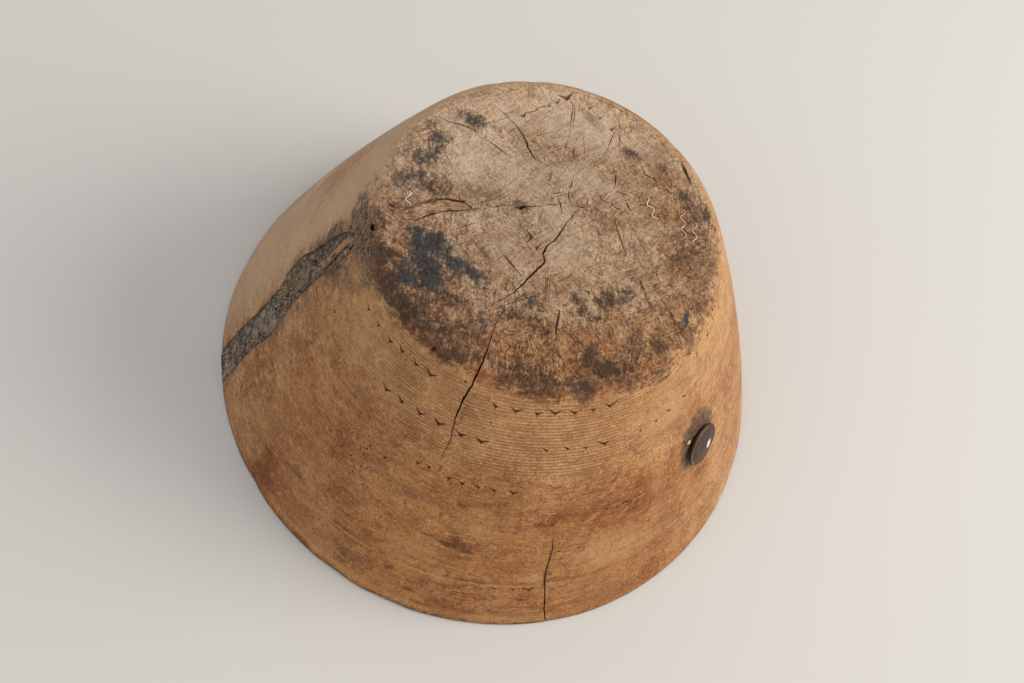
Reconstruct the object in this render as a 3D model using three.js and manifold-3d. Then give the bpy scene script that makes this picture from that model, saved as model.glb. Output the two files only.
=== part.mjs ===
// A deep wooden bowl, turned from one log, standing mouth down on its rim with its foot on top.
// An old split across the foot and down one side is closed with a filler strip, a wood sliver and
// corrugated iron fasteners. One iron rivet goes through the wall.
// Millimetres, +Z up, origin at the centre of the rim's resting plane.
import * as THREE from 'three';
import { mergeVertices } from 'three/addons/utils/BufferGeometryUtils.js';
import Module from 'manifold-3d';

const wasm = await Module();
wasm.setup();

// ---- driving dimensions: the turned body ----
const RIM_RADIUS = 180;
const FOOT_RADIUS = 101.5; // where the line of the wall would meet the plane of the foot
const HEIGHT = 189;
const WALL_BULGE = 3.4; // how far the wall swells outwards at half height
const SHOULDER_SIZE = 8; // rounding between wall and foot
const RIM_ROUNDING = 2.5;
const RIM_WALL = 13; // horizontal thickness of the wall at the rim
const FLOOR_WALL = 17; // the same at the level of the inside floor
const FOOT_THICKNESS = 27;
const FLOOR_ROUNDING = 42; // how far up the wall the rounding of the inside floor starts
const FLOOR_FLAT_RADIUS = 42;
const TURN_STEPS = 80; // sides of the turned body

// ---- driving dimensions: the repairs ----
const GAP = 0.3; // clearance between a piece and the wood around it
const STRIP_AZIMUTH = 205.5; // degrees, counter-clockwise from +X
const STRIP_WIDTH = 25;
const STRIP_DEPTH = 10;
const STRIP_SUNK = 0.8; // the strip lies this far under the surface of the wall
const STRIP_BOTTOM = 0.8;
const STRIP_TOP = 171;
const SLIVER_DEPTH = 9;
const FLUSH_SUNK = 0.2; // pieces let into the foot stay this far under its plane
const FASTENER_DEPTH = 8;
const FASTENER_THICKNESS = 0.9;
const FASTENER_WAVE = 7.6; // length of one corrugation
const FASTENER_SWING = 1.5; // how far a corrugation swings to each side

// ---- driving dimensions: the iron in the wall ----
const RIVET_AZIMUTH = 343;
const RIVET_HEIGHT = 101.5;
const RIVET_HEAD_RADIUS = 14;
const RIVET_HEAD_RIM = 1.4;
const RIVET_HEAD_DOME = 1.8;
const RIVET_HEAD_TILT = 2; // degrees that the bent head leans round the wall
const RIVET_HEAD_EDGE = 0.5; // chamfer around the head's rim
const RIVET_STANDOFF = 1.2; // air between the wall and the middle of the head's underside
const RIVET_SHANK_RADIUS = 4;
const RIVET_PEEN_RADIUS = 7;
const RIVET_PEEN_HEIGHT = 3.2;
const ROVE_RADIUS = 11.5;
const ROVE_THICKNESS = 1.6;
const ROVE_SEAT = 0.4; // the flat for the rove is cut this far into the inside of the wall
const NAIL_AZIMUTH = 338.4;
const NAIL_HEIGHT = 113.5;
const NAIL_HEAD_RADIUS = 1.7;
const NAIL_SHANK_RADIUS = 0.9;
const NAIL_LENGTH = 9;
const NAIL_POINT = 1.5;
const NAIL_HEAD_HEIGHT = 0.8;
const NAIL_STEPS = 12;
const ROUND_STEPS = 32; // sides of the round iron pieces

const Z_AXIS = new THREE.Vector3(0, 0, 1);
const OVERSHOOT = 6; // how far a cutter reaches past the surface that it opens

// ---- the profile of the wall ----
function wallRadius(z) {
  const t = z / HEIGHT;
  return THREE.MathUtils.lerp(RIM_RADIUS, FOOT_RADIUS, t) + 4 * WALL_BULGE * t * (1 - t);
}

function wallThickness(z) {
  return THREE.MathUtils.mapLinear(z, 0, HEIGHT - FOOT_THICKNESS, RIM_WALL, FLOOR_WALL);
}

function innerRadius(z) {
  return wallRadius(z) - wallThickness(z);
}

// Radius lost per millimetre of height, which gives the lean of the wall's normal.
function wallSlope(z) {
  return (wallRadius(z - 1) - wallRadius(z + 1)) / 2;
}

function wallPoints(radiusAt, from, to, steps) {
  const points = [];
  for (let i = 0; i <= steps; i += 1) {
    const z = THREE.MathUtils.lerp(from, to, i / steps);
    points.push(new THREE.Vector2(radiusAt(z), z));
  }
  return points;
}

// A quarter bend between two points, drawn towards the corner.
function bend(start, corner, end, steps) {
  return new THREE.QuadraticBezierCurve(start, corner, end).getPoints(steps);
}

// ---- geometry helpers ----
// A closed solid of revolution about +Z from radius and height points.
function turned(points, steps) {
  const geometry = new THREE.LatheGeometry(points, steps);
  geometry.rotateX(Math.PI / 2);
  return geometry;
}

// An outline in the XY plane made into a prism that ends at height top.
function prism(points, depth, top) {
  const geometry = new THREE.ExtrudeGeometry(new THREE.Shape(points), { depth, bevelEnabled: false });
  geometry.translate(0, 0, top - depth);
  return geometry;
}

function solidFrom(geometry) {
  const bare = geometry.clone();
  bare.deleteAttribute('normal');
  bare.deleteAttribute('uv');
  const merged = mergeVertices(bare, 1e-4);
  const corners = merged.index.array;
  const kept = [];
  for (let i = 0; i < corners.length; i += 3) {
    const [a, b, c] = [corners[i], corners[i + 1], corners[i + 2]];
    if (a !== b && b !== c && c !== a) kept.push(a, b, c);
  }
  const mesh = new wasm.Mesh({
    numProp: 3,
    vertProperties: new Float32Array(merged.attributes.position.array),
    triVerts: new Uint32Array(kept),
  });
  return new wasm.Manifold(mesh);
}

function geometryFrom(solid) {
  const mesh = solid.getMesh();
  const geometry = new THREE.BufferGeometry();
  geometry.setAttribute('position', new THREE.BufferAttribute(mesh.vertProperties, 3));
  geometry.setIndex(new THREE.BufferAttribute(mesh.triVerts, 1));
  geometry.computeVertexNormals();
  return geometry;
}

function piece(name, solid, material) {
  const mesh = new THREE.Mesh(geometryFrom(solid), material);
  mesh.name = name;
  return mesh;
}

// Moves each point of a closed outline outwards, along the mean of its two edge normals.
function grownOutline(points, distance) {
  return points.map((point, i) => {
    const before = points[(i + points.length - 1) % points.length];
    const after = points[(i + 1) % points.length];
    const normalOf = (from, to) => new THREE.Vector2(to.y - from.y, from.x - to.x).normalize();
    const normal = normalOf(before, point).add(normalOf(point, after)).normalize();
    return point.clone().addScaledVector(normal, distance);
  });
}

// The place on the outside of the wall that a piece of iron goes through: Z points out of the wood.
function wallFrame(azimuth, z) {
  const angle = THREE.MathUtils.degToRad(azimuth);
  const outwards = new THREE.Vector3(Math.cos(angle), Math.sin(angle), 0);
  const normal = outwards.clone().addScaledVector(Z_AXIS, wallSlope(z)).normalize();
  const frame = new THREE.Group();
  frame.position.copy(outwards).multiplyScalar(wallRadius(z)).setZ(z);
  frame.quaternion.setFromUnitVectors(Z_AXIS, normal);
  frame.updateMatrixWorld(true);
  return frame;
}

// ---- materials ----
const wood = new THREE.MeshStandardMaterial({ color: 0xa9774c, roughness: 0.62, metalness: 0 });
const filler = new THREE.MeshStandardMaterial({ color: 0x6c5746, roughness: 0.9, metalness: 0 });
const sliverWood = new THREE.MeshStandardMaterial({ color: 0xa98560, roughness: 0.7, metalness: 0 });
const strapIron = new THREE.MeshStandardMaterial({ color: 0xb5a79a, roughness: 0.4, metalness: 0.9 });
const rustyIron = new THREE.MeshStandardMaterial({ color: 0x5a4336, roughness: 0.45, metalness: 0.6 });

// ---- the filler strip in the side ----
function stripSolid(clearance) {
  const sunk = clearance > 0 ? -OVERSHOOT : STRIP_SUNK;
  const deep = STRIP_DEPTH + clearance;
  const bottom = clearance > 0 ? -OVERSHOOT : STRIP_BOTTOM;
  const top = STRIP_TOP + clearance;
  const steps = 8;
  const outside = wallPoints((z) => wallRadius(z) - sunk, bottom, top, steps);
  const inside = wallPoints((z) => wallRadius(z) - deep, top, bottom, steps);
  const shell = solidFrom(turned([...outside, ...inside, outside[0]], TURN_STEPS));
  const width = STRIP_WIDTH + 2 * clearance;
  const reach = RIM_RADIUS + 2 * OVERSHOOT;
  const slab = new THREE.BoxGeometry(reach, width, 2 * HEIGHT + 4 * OVERSHOOT);
  slab.translate(reach / 2, 0, 0);
  slab.rotateZ(THREE.MathUtils.degToRad(STRIP_AZIMUTH));
  return shell.intersect(solidFrom(slab));
}

// ---- the wood sliver in the foot's crack ----
function sliverOutline() {
  const corners = [
    [-76, -33.5], [-70.5, -31], [-65, -24.5], [-60, -19.7], [-53, -15], [-46, -10.5],
    [-51, -7.5], [-59.5, -10.5], [-66.5, -14.5], [-71.5, -20], [-79, -28.5],
  ];
  return corners.map(([x, y]) => new THREE.Vector2(x, y));
}

// ---- corrugated fasteners ----
// Each runs from its first end towards a heading, in degrees, across the crack.
const FASTENERS = [
  { x: -81.5, y: -15.5, heading: -68, length: 10.5 },
  { x: 42.5, y: 47, heading: -47, length: 17 },
  { x: 65.5, y: 49, heading: -69, length: 21 },
  { x: 74.8, y: 44, heading: -71, length: 15.5 },
];

function corrugatedOutline(fastener) {
  const pointsPerWave = 8;
  const steps = Math.round((fastener.length / FASTENER_WAVE) * pointsPerWave);
  const turn = (2 * Math.PI) / FASTENER_WAVE;
  const side = (offset) => {
    const points = [];
    for (let i = 0; i <= steps; i += 1) {
      const along = (fastener.length * i) / steps;
      const lean = Math.atan(FASTENER_SWING * turn * Math.cos(turn * along));
      const middle = FASTENER_SWING * Math.sin(turn * along);
      const shift = new THREE.Vector2(-Math.sin(lean), Math.cos(lean)).multiplyScalar(offset);
      points.push(new THREE.Vector2(along, middle).add(shift));
    }
    return points;
  };
  const outline = [...side(-FASTENER_THICKNESS / 2), ...side(FASTENER_THICKNESS / 2).reverse()];
  const origin = new THREE.Vector2();
  const heading = THREE.MathUtils.degToRad(fastener.heading);
  const start = new THREE.Vector2(fastener.x, fastener.y);
  return outline.map((point) => point.rotateAround(origin, heading).add(start));
}

// Pieces let into the foot, and the slots they sit in.
function letIn(outline, depth) {
  return solidFrom(prism(outline, depth, HEIGHT - FLUSH_SUNK));
}

function slotFor(outline, depth) {
  const top = HEIGHT + OVERSHOOT;
  return solidFrom(prism(grownOutline(outline, GAP), depth + FLUSH_SUNK + GAP + OVERSHOOT, top));
}

// ---- the rivet, its rove and the small nail ----
const rivetFrame = wallFrame(RIVET_AZIMUTH, RIVET_HEIGHT);
const nailFrame = wallFrame(NAIL_AZIMUTH, NAIL_HEIGHT);
const wallAtRivet = wallThickness(RIVET_HEIGHT) * Math.cos(Math.atan(wallSlope(RIVET_HEIGHT)));
const roveSeat = -wallAtRivet + ROVE_SEAT;
const roveTop = roveSeat - GAP;
const peenTop = roveTop - ROVE_THICKNESS - GAP;

function rivetHeadGeometry() {
  const edge = RIVET_HEAD_EDGE;
  const dome = bend(
    new THREE.Vector2(RIVET_HEAD_RADIUS - edge, RIVET_HEAD_RIM),
    new THREE.Vector2(RIVET_HEAD_RADIUS / 2, RIVET_HEAD_RIM + RIVET_HEAD_DOME),
    new THREE.Vector2(0, RIVET_HEAD_RIM + RIVET_HEAD_DOME),
    6,
  );
  return turned([
    new THREE.Vector2(0, 0),
    new THREE.Vector2(RIVET_HEAD_RADIUS - edge, 0),
    new THREE.Vector2(RIVET_HEAD_RADIUS, edge),
    new THREE.Vector2(RIVET_HEAD_RADIUS, RIVET_HEAD_RIM - edge),
    ...dome,
  ], ROUND_STEPS);
}

function rivetShankGeometry() {
  const top = RIVET_STANDOFF + RIVET_HEAD_RIM / 2;
  const peen = bend(
    new THREE.Vector2(0, peenTop - RIVET_PEEN_HEIGHT),
    new THREE.Vector2(RIVET_PEEN_RADIUS, peenTop - RIVET_PEEN_HEIGHT),
    new THREE.Vector2(RIVET_PEEN_RADIUS, peenTop),
    5,
  );
  return turned([
    ...peen,
    new THREE.Vector2(RIVET_SHANK_RADIUS, peenTop),
    new THREE.Vector2(RIVET_SHANK_RADIUS, top),
    new THREE.Vector2(0, top),
  ], ROUND_STEPS);
}

function rivetSolid() {
  const uphill = Z_AXIS.clone().applyQuaternion(rivetFrame.quaternion.clone().invert());
  uphill.setZ(0).normalize();
  const lean = new THREE.Matrix4().makeRotationAxis(uphill, THREE.MathUtils.degToRad(RIVET_HEAD_TILT));
  const head = rivetHeadGeometry().applyMatrix4(lean).translate(0, 0, RIVET_STANDOFF);
  return solidFrom(rivetShankGeometry()).add(solidFrom(head));
}

function roveGeometry() {
  const hole = RIVET_SHANK_RADIUS + GAP;
  const bottom = roveTop - ROVE_THICKNESS;
  const corners = [
    [hole, bottom], [ROVE_RADIUS, bottom], [ROVE_RADIUS, roveTop], [hole, roveTop], [hole, bottom],
  ];
  return turned(corners.map(([radius, z]) => new THREE.Vector2(radius, z)), ROUND_STEPS);
}

function nailGeometry() {
  const crown = GAP + NAIL_HEAD_HEIGHT;
  const corners = [
    [0, -NAIL_LENGTH], [NAIL_SHANK_RADIUS, NAIL_POINT - NAIL_LENGTH], [NAIL_SHANK_RADIUS, GAP],
    [NAIL_HEAD_RADIUS, GAP], [NAIL_HEAD_RADIUS * 0.8, crown * 0.8], [0, crown],
  ];
  return turned(corners.map(([radius, z]) => new THREE.Vector2(radius, z)), NAIL_STEPS);
}

// A round cutter in the frame of a piece of iron.
function boreCutter(frame, radius, bottom, top) {
  const cutter = new THREE.CylinderGeometry(radius, radius, top - bottom, ROUND_STEPS);
  cutter.rotateX(Math.PI / 2);
  cutter.translate(0, 0, (top + bottom) / 2);
  cutter.applyMatrix4(frame.matrixWorld);
  return solidFrom(cutter);
}

// ---- the turned body ----
function bodyBlank() {
  const floor = HEIGHT - FOOT_THICKNESS;
  const shoulderStart = HEIGHT - SHOULDER_SIZE;
  const floorBendStart = floor - FLOOR_ROUNDING;
  const rimInside = innerRadius(0);
  const profile = [
    new THREE.Vector2(0, floor),
    ...bend(
      new THREE.Vector2(FLOOR_FLAT_RADIUS, floor),
      new THREE.Vector2(innerRadius(floor), floor),
      new THREE.Vector2(innerRadius(floorBendStart), floorBendStart),
      7,
    ),
    ...wallPoints(innerRadius, floorBendStart, RIM_ROUNDING, 5).slice(1),
    ...bend(
      new THREE.Vector2(innerRadius(RIM_ROUNDING), RIM_ROUNDING),
      new THREE.Vector2(rimInside, 0),
      new THREE.Vector2(rimInside + RIM_ROUNDING, 0),
      3,
    ).slice(1),
    ...bend(
      new THREE.Vector2(RIM_RADIUS - RIM_ROUNDING, 0),
      new THREE.Vector2(RIM_RADIUS, 0),
      new THREE.Vector2(wallRadius(RIM_ROUNDING), RIM_ROUNDING),
      3,
    ),
    ...wallPoints(wallRadius, RIM_ROUNDING, shoulderStart, 8).slice(1),
    ...bend(
      new THREE.Vector2(wallRadius(shoulderStart), shoulderStart),
      new THREE.Vector2(FOOT_RADIUS, HEIGHT),
      new THREE.Vector2(FOOT_RADIUS - SHOULDER_SIZE, HEIGHT),
      5,
    ).slice(1),
    new THREE.Vector2(0, HEIGHT),
  ];
  return solidFrom(turned(profile, TURN_STEPS));
}

function bodySolid() {
  const cutters = [
    stripSolid(GAP),
    slotFor(sliverOutline(), SLIVER_DEPTH),
    ...FASTENERS.map((fastener) => slotFor(corrugatedOutline(fastener), FASTENER_DEPTH)),
    boreCutter(rivetFrame, RIVET_SHANK_RADIUS + GAP, -2 * wallAtRivet, OVERSHOOT),
    boreCutter(rivetFrame, ROVE_RADIUS + GAP, roveSeat - 2 * OVERSHOOT, roveSeat),
    boreCutter(nailFrame, NAIL_SHANK_RADIUS + GAP, -NAIL_LENGTH - GAP, OVERSHOOT),
  ];
  return cutters.reduce((body, cutter) => body.subtract(cutter), bodyBlank());
}

// ---- assembly ----
const bowl = new THREE.Group();
bowl.add(piece('bowl_body', bodySolid(), wood));
bowl.add(piece('side_seam_filler', stripSolid(0), filler));
bowl.add(piece('foot_crack_filler', letIn(sliverOutline(), SLIVER_DEPTH), sliverWood));
FASTENERS.forEach((fastener, i) => {
  const strip = letIn(corrugatedOutline(fastener), FASTENER_DEPTH);
  bowl.add(piece(`corrugated_fastener_${i + 1}`, strip, strapIron));
});

rivetFrame.add(piece('rivet', rivetSolid(), rustyIron));
rivetFrame.add(piece('inner_washer', solidFrom(roveGeometry()), rustyIron));
nailFrame.add(piece('small_nail', solidFrom(nailGeometry()), strapIron));
bowl.add(rivetFrame, nailFrame);

export default bowl;
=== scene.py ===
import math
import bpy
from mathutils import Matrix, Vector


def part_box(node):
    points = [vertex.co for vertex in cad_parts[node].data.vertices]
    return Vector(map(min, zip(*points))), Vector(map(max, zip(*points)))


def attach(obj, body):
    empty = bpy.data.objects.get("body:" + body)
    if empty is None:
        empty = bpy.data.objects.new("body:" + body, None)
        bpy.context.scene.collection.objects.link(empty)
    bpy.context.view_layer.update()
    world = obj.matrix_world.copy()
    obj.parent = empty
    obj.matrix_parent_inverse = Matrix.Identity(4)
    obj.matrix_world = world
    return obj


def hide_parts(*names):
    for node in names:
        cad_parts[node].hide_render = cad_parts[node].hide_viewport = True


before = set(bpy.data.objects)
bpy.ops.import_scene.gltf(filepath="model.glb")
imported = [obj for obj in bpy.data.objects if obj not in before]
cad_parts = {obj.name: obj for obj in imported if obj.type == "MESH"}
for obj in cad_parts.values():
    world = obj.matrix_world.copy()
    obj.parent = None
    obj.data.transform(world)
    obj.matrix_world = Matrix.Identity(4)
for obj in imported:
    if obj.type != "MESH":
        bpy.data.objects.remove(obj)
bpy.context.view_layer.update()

# The looks of a deep wooden bowl that stands mouth down on its rim, foot on top: hand-turned from one log,
# worn and stained, its split closed with a filler strip, a wood sliver and corrugated iron fasteners.
# Shapes are worked out in millimetres in the part's frame and turned into metres when a mesh is made.
# The tables hold places given one by one.
# Azimuths are in degrees, counter-clockwise from +X seen from above.

from types import SimpleNamespace

import bpy
import numpy as np
from mathutils import Matrix, Vector

MM = 0.001
body_low, body_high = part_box("bowl_body")

# ---- driving dimensions, the same as the CAD body's ----
HEIGHT = (body_high[2] - body_low[2]) / MM
RIM_RADIUS = 180.0
FOOT_RADIUS = 101.5
WALL_BULGE = 3.4
SHOULDER = 8.0
RIM_ROUNDING = 2.5
RIM_WALL = 13.0
FLOOR_WALL = 17.0
FOOT_THICKNESS = 27.0
FLOOR_Z = HEIGHT - FOOT_THICKNESS
FLOOR_ROUNDING = 42.0
FLOOR_FLAT_RADIUS = 42.0
STRIP_DEPTH = 10.0
SLIVER_DEPTH = 9.0
SUNK = 0.05
FASTENER_DEPTH = 8.0
RIVET_AZIMUTH = 343.0
RIVET_HEIGHT = 101.5
RIVET_STANDOFF = 1.2
RIVET_TILT = 2.0
HALO_AZIMUTH = 342.3
HALO_HEIGHT = 105.0
NAIL_AZIMUTH = 338.4
NAIL_HEIGHT = 113.5

# ---- the middle of the log, a little off the axis of turning ----
PITH = (3.0, 16.0)

UP, DOWN = np.array([0.0, 0.0, 1.0]), np.array([0.0, 0.0, -1.0])

# ---- tool lines left by turning ----
LINE_PITCH = 2.1
LINE_DEPTH = 0.24
LINES_FROM, LINES_TO = 123.0, 183.0


# ======== small numeric helpers ========
def smooth(low, high, value):
    t = np.clip((value - low) / (high - low), 0.0, 1.0)
    return t * t * (3.0 - 2.0 * t)


def mix(a, b, t):
    return a + (b - a) * t


def lattice_noise(points, cell, seed):
    """Smooth value noise from 0 to 1 at an array of points, with features about one cell wide."""
    q = points / cell
    base = np.floor(q).astype(np.int64)
    f = q - base
    f = f * f * (3.0 - 2.0 * f)
    total = np.zeros(len(points))
    for corner in range(8):
        step = np.array([corner & 1, (corner >> 1) & 1, (corner >> 2) & 1])
        key = base + step
        h = (key[:, 0] * 73856093) ^ (key[:, 1] * 19349663) ^ (key[:, 2] * 83492791) ^ (seed * 2654435761)
        h = (h ^ (h >> 13)) * 1274126177
        h = (h ^ (h >> 16)) & 0xFFFFFF
        weight = np.prod(np.where(step == 1, f, 1.0 - f), axis=1)
        total += weight * (h / float(0xFFFFFF))
    return total


def layered_noise(points, cell, seed, layers=3):
    total, reach = 0.0, 0.0
    for layer in range(layers):
        share = 0.5 ** layer
        total = total + share * lattice_noise(points, cell * share, seed + 31 * layer)
        reach += share
    return total / reach


def unit_rows(vectors):
    return vectors / np.linalg.norm(vectors, axis=1)[:, None]


def azimuth_of(points):
    return np.degrees(np.arctan2(points[:, 1], points[:, 0])) % 360.0


def around(radius, azimuth, height):
    """Points from cylindrical places, the azimuth in radians."""
    height = np.broadcast_to(height, np.broadcast_shapes(np.shape(radius), np.shape(azimuth)))
    return np.stack([radius * np.cos(azimuth), radius * np.sin(azimuth), height], axis=-1)


def window(low, high, fade, value):
    """1 between low and high and 0 outside, fading over twice the fade at both ends."""
    return smooth(low - fade, low + fade, value) * (1.0 - smooth(high - fade, high + fade, value))


# ======== the profile of the bowl ========
def wall_radius(z):
    t = z / HEIGHT
    return mix(RIM_RADIUS, FOOT_RADIUS, t) + 4.0 * WALL_BULGE * t * (1.0 - t)


def wall_thickness(z):
    return mix(RIM_WALL, FLOOR_WALL, z / FLOOR_Z)


def inner_radius(z):
    return wall_radius(z) - wall_thickness(z)


def wall_slope(z):
    return (wall_radius(z - 1.0) - wall_radius(z + 1.0)) / 2.0


def bend(start, corner, end, steps):
    """Points of a quarter bend from start to end, drawn towards the corner."""
    t = np.linspace(0.0, 1.0, steps + 1)[:, None]
    start, corner, end = (np.array(p, float) for p in (start, corner, end))
    return (1 - t) ** 2 * start + 2 * t * (1 - t) * corner + t ** 2 * end


def wall_rows(radius_at, z_from, z_to, spacing):
    count = max(1, round(abs(z_to - z_from) / spacing))
    z = np.linspace(z_from, z_to, count + 1)
    return np.column_stack([radius_at(z), z])


def flat_rows(r_from, r_to, z, spacing):
    count = max(1, round(abs(r_to - r_from) / spacing))
    return np.column_stack([np.linspace(r_from, r_to, count + 1), np.full(count + 1, z)])


def body_profile():
    """Radius and height rows: from the middle of the foot down the outside, round the rim, up the inside."""
    shoulder_z = HEIGHT - SHOULDER
    shoulder_start, shoulder_end = (FOOT_RADIUS - SHOULDER, HEIGHT), (wall_radius(shoulder_z), shoulder_z)
    bend_z = FLOOR_Z - FLOOR_ROUNDING
    bend_start, bend_corner = (inner_radius(bend_z), bend_z), (inner_radius(FLOOR_Z), FLOOR_Z)
    rim_in = inner_radius(0.0)
    parts = [
        flat_rows(2.5, FOOT_RADIUS - SHOULDER, HEIGHT, 2.5),
        bend(shoulder_start, (FOOT_RADIUS, HEIGHT), shoulder_end, 9),
        wall_rows(wall_radius, shoulder_z, LINES_FROM - 2.0, LINE_PITCH / 5.0),
        wall_rows(wall_radius, LINES_FROM - 2.0, 66.0, 1.4),
        wall_rows(wall_radius, 66.0, RIM_ROUNDING, 1.05),
        bend((wall_radius(RIM_ROUNDING), RIM_ROUNDING), (RIM_RADIUS, 0), (RIM_RADIUS - RIM_ROUNDING, 0), 4),
        flat_rows(RIM_RADIUS - RIM_ROUNDING, rim_in + RIM_ROUNDING, 0.0, 1.6),
        bend((rim_in + RIM_ROUNDING, 0), (rim_in, 0), (inner_radius(RIM_ROUNDING), RIM_ROUNDING), 4),
        wall_rows(inner_radius, RIM_ROUNDING, bend_z, 3.0),
        bend(bend_start, bend_corner, (FLOOR_FLAT_RADIUS, FLOOR_Z), 16),
        flat_rows(FLOOR_FLAT_RADIUS, 3.0, FLOOR_Z, 3.0),
    ]
    rows = [parts[0]] + [part[1:] for part in parts[1:]]
    return np.vstack(rows)


def profile_normals(rows):
    """Outward unit normals of the profile, whose rows run clockwise round the wood."""
    along = np.gradient(rows, axis=0)
    return unit_rows(np.column_stack([-along[:, 1], along[:, 0]]))


def body_columns():
    """Azimuths of the mesh's columns: closer together on the side that carries most of the marks."""
    fine = np.arange(190.0, 350.0, 1.25)
    coarse = np.arange(350.0, 550.0, 2.0)
    return np.radians(np.concatenate([fine, coarse]))


# ======== places on the surface ========
def on_foot(x, y):
    return np.array([x, y, HEIGHT]), UP


def on_wall(azimuth, z):
    a = math.radians(azimuth)
    slope = wall_slope(z)
    size = math.hypot(1.0, slope)
    r = wall_radius(z)
    normal = np.array([math.cos(a) / size, math.sin(a) / size, slope / size])
    return np.array([r * math.cos(a), r * math.sin(a), z]), normal


def on_shoulder(azimuth):
    """The middle of the bend between wall and foot."""
    a = math.radians(azimuth)
    r, z = bend((FOOT_RADIUS - SHOULDER, HEIGHT), (FOOT_RADIUS, HEIGHT),
                (wall_radius(HEIGHT - SHOULDER), HEIGHT - SHOULDER), 2)[1]
    normal = np.array([math.cos(a), math.sin(a), 1.3])
    return np.array([r * math.cos(a), r * math.sin(a), z]), normal / np.linalg.norm(normal)


def turning_level(points):
    """Height square to the axis that the tool lines were cut about, which leans a little from the foot's."""
    azimuth = np.arctan2(points[:, 1], points[:, 0])
    lean = 4.0 + 4.7 * smooth(110.0, 175.0, points[:, 2])
    return points[:, 2] - lean * np.cos(azimuth)


# ======== meshes ========
def enclosed_volume(points, faces):
    """Six times the volume inside a closed mesh, negative where its faces look inwards."""
    total = 0.0
    for face in faces:
        for i in range(1, len(face) - 1):
            total += float(np.dot(points[face[0]], np.cross(points[face[i]], points[face[i + 1]])))
    return total


def add_object(name, data):
    made = bpy.data.objects.new(name, data)
    bpy.context.scene.collection.objects.link(made)
    return made


def make_object(name, points, faces, material=None):
    """A mesh object from a closed shape's points, in millimetres; its faces are turned to look outwards."""
    points = np.asarray(points, float)
    if enclosed_volume(points, faces) < 0.0:
        faces = [tuple(reversed(face)) for face in faces]
    mesh = bpy.data.meshes.new(name)
    mesh.from_pydata((np.asarray(points) * MM).tolist(), [], [tuple(map(int, f)) for f in faces])
    mesh.validate()
    mesh.update()
    if material is not None:
        mesh.materials.append(material)
    return add_object(name, mesh)


def smooth_shading(obj, angle):
    obj.data.shade_smooth()
    obj.data.set_sharp_from_angle(angle=math.radians(angle))


def set_field(obj, name, values):
    layer = obj.data.attributes.new(name, "FLOAT", "POINT")
    layer.data.foreach_set("value", np.asarray(values, np.float32))


def points_of(obj):
    flat = np.empty(len(obj.data.vertices) * 3)
    obj.data.vertices.foreach_get("co", flat)
    return flat.reshape(-1, 3) / MM


def ring_faces(rows, columns):
    """Quads between the rings of a grid whose rows hold `columns` points each."""
    faces = []
    for i in range(rows - 1):
        a, b = i * columns, (i + 1) * columns
        for j in range(columns):
            k = (j + 1) % columns
            faces.append((a + j, b + j, b + k, a + k))
    return faces


def closed_at_poles(points, rows, columns, first_z, last_z):
    """A grid of rings closed into a solid by poles on the axis, before its first row and after its last."""
    faces = ring_faces(rows, columns)
    first, last, end = len(points), len(points) + 1, (rows - 1) * columns
    faces += [(first, j, (j + 1) % columns) for j in range(columns)]
    faces += [(last, end + (j + 1) % columns, end + j) for j in range(columns)]
    return np.vstack([points, [0.0, 0.0, first_z], [0.0, 0.0, last_z]]), faces


def turned_points(rows, steps):
    """Rings of points about Z from radius and height rows."""
    angle = np.linspace(0.0, 2.0 * math.pi, steps, endpoint=False)
    return np.vstack([around(r, angle, z) for r, z in rows])


# ======== the turned body ========
def line_strength(points):
    """How clearly the fine tool lines still show, from 0 where they are worn away to 1."""
    level = turning_level(points)
    azimuth = azimuth_of(points)
    zone = smooth(LINES_FROM, LINES_FROM + 9.0, level) * (1.0 - smooth(LINES_TO - 3.0, LINES_TO + 1.0, level))
    fresh = smooth(232.0, 250.0, azimuth) * (1.0 - smooth(332.0, 346.0, azimuth))
    patches = 0.4 + 0.6 * smooth(0.3, 0.65, layered_noise(points, 24.0, 5))
    return zone * mix(0.35, 1.0, fresh) * patches


def fine_lines(points):
    """0 between the fine tool lines and 1 at the bottom of each."""
    wander = 0.35 * lattice_noise(points, 40.0, 9)
    phase = turning_level(points) / LINE_PITCH + wander
    return (0.5 + 0.5 * np.cos(2.0 * math.pi * phase)) ** 1.8


# Single lines on the lower wall: turning level, depth, half width, and the azimuths they show between.
SINGLE_LINES = [
    (40.2, 0.28, 0.7, 248, 312), (38.4, -0.15, 0.6, 248, 305), (52.0, 0.2, 0.6, 268, 318),
    (53.8, 0.12, 0.5, 270, 306), (55.8, 0.16, 0.5, 262, 296), (58.2, 0.12, 0.5, 262, 292),
    (60.3, 0.15, 0.5, 266, 293), (62.6, 0.13, 0.5, 262, 290), (8.2, 0.16, 0.6, 236, 306),
    (6.0, 0.2, 0.6, 232, 318), (3.6, 0.22, 0.7, 236, 330), (98.0, 0.1, 0.9, 20, 120),
    (30.0, 0.14, 0.8, 60, 170), (76.0, 0.1, 0.8, 100, 190), (121.0, 0.12, 0.7, 250, 300),
]


def single_lines(points):
    level = turning_level(points)
    azimuth = azimuth_of(points)
    depth = np.zeros(len(points))
    for at, cut, half_width, first, last in SINGLE_LINES:
        depth += cut * window(first, last, 8.0, azimuth) * np.exp(-(((level - at) / half_width) ** 2))
    return depth


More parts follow.
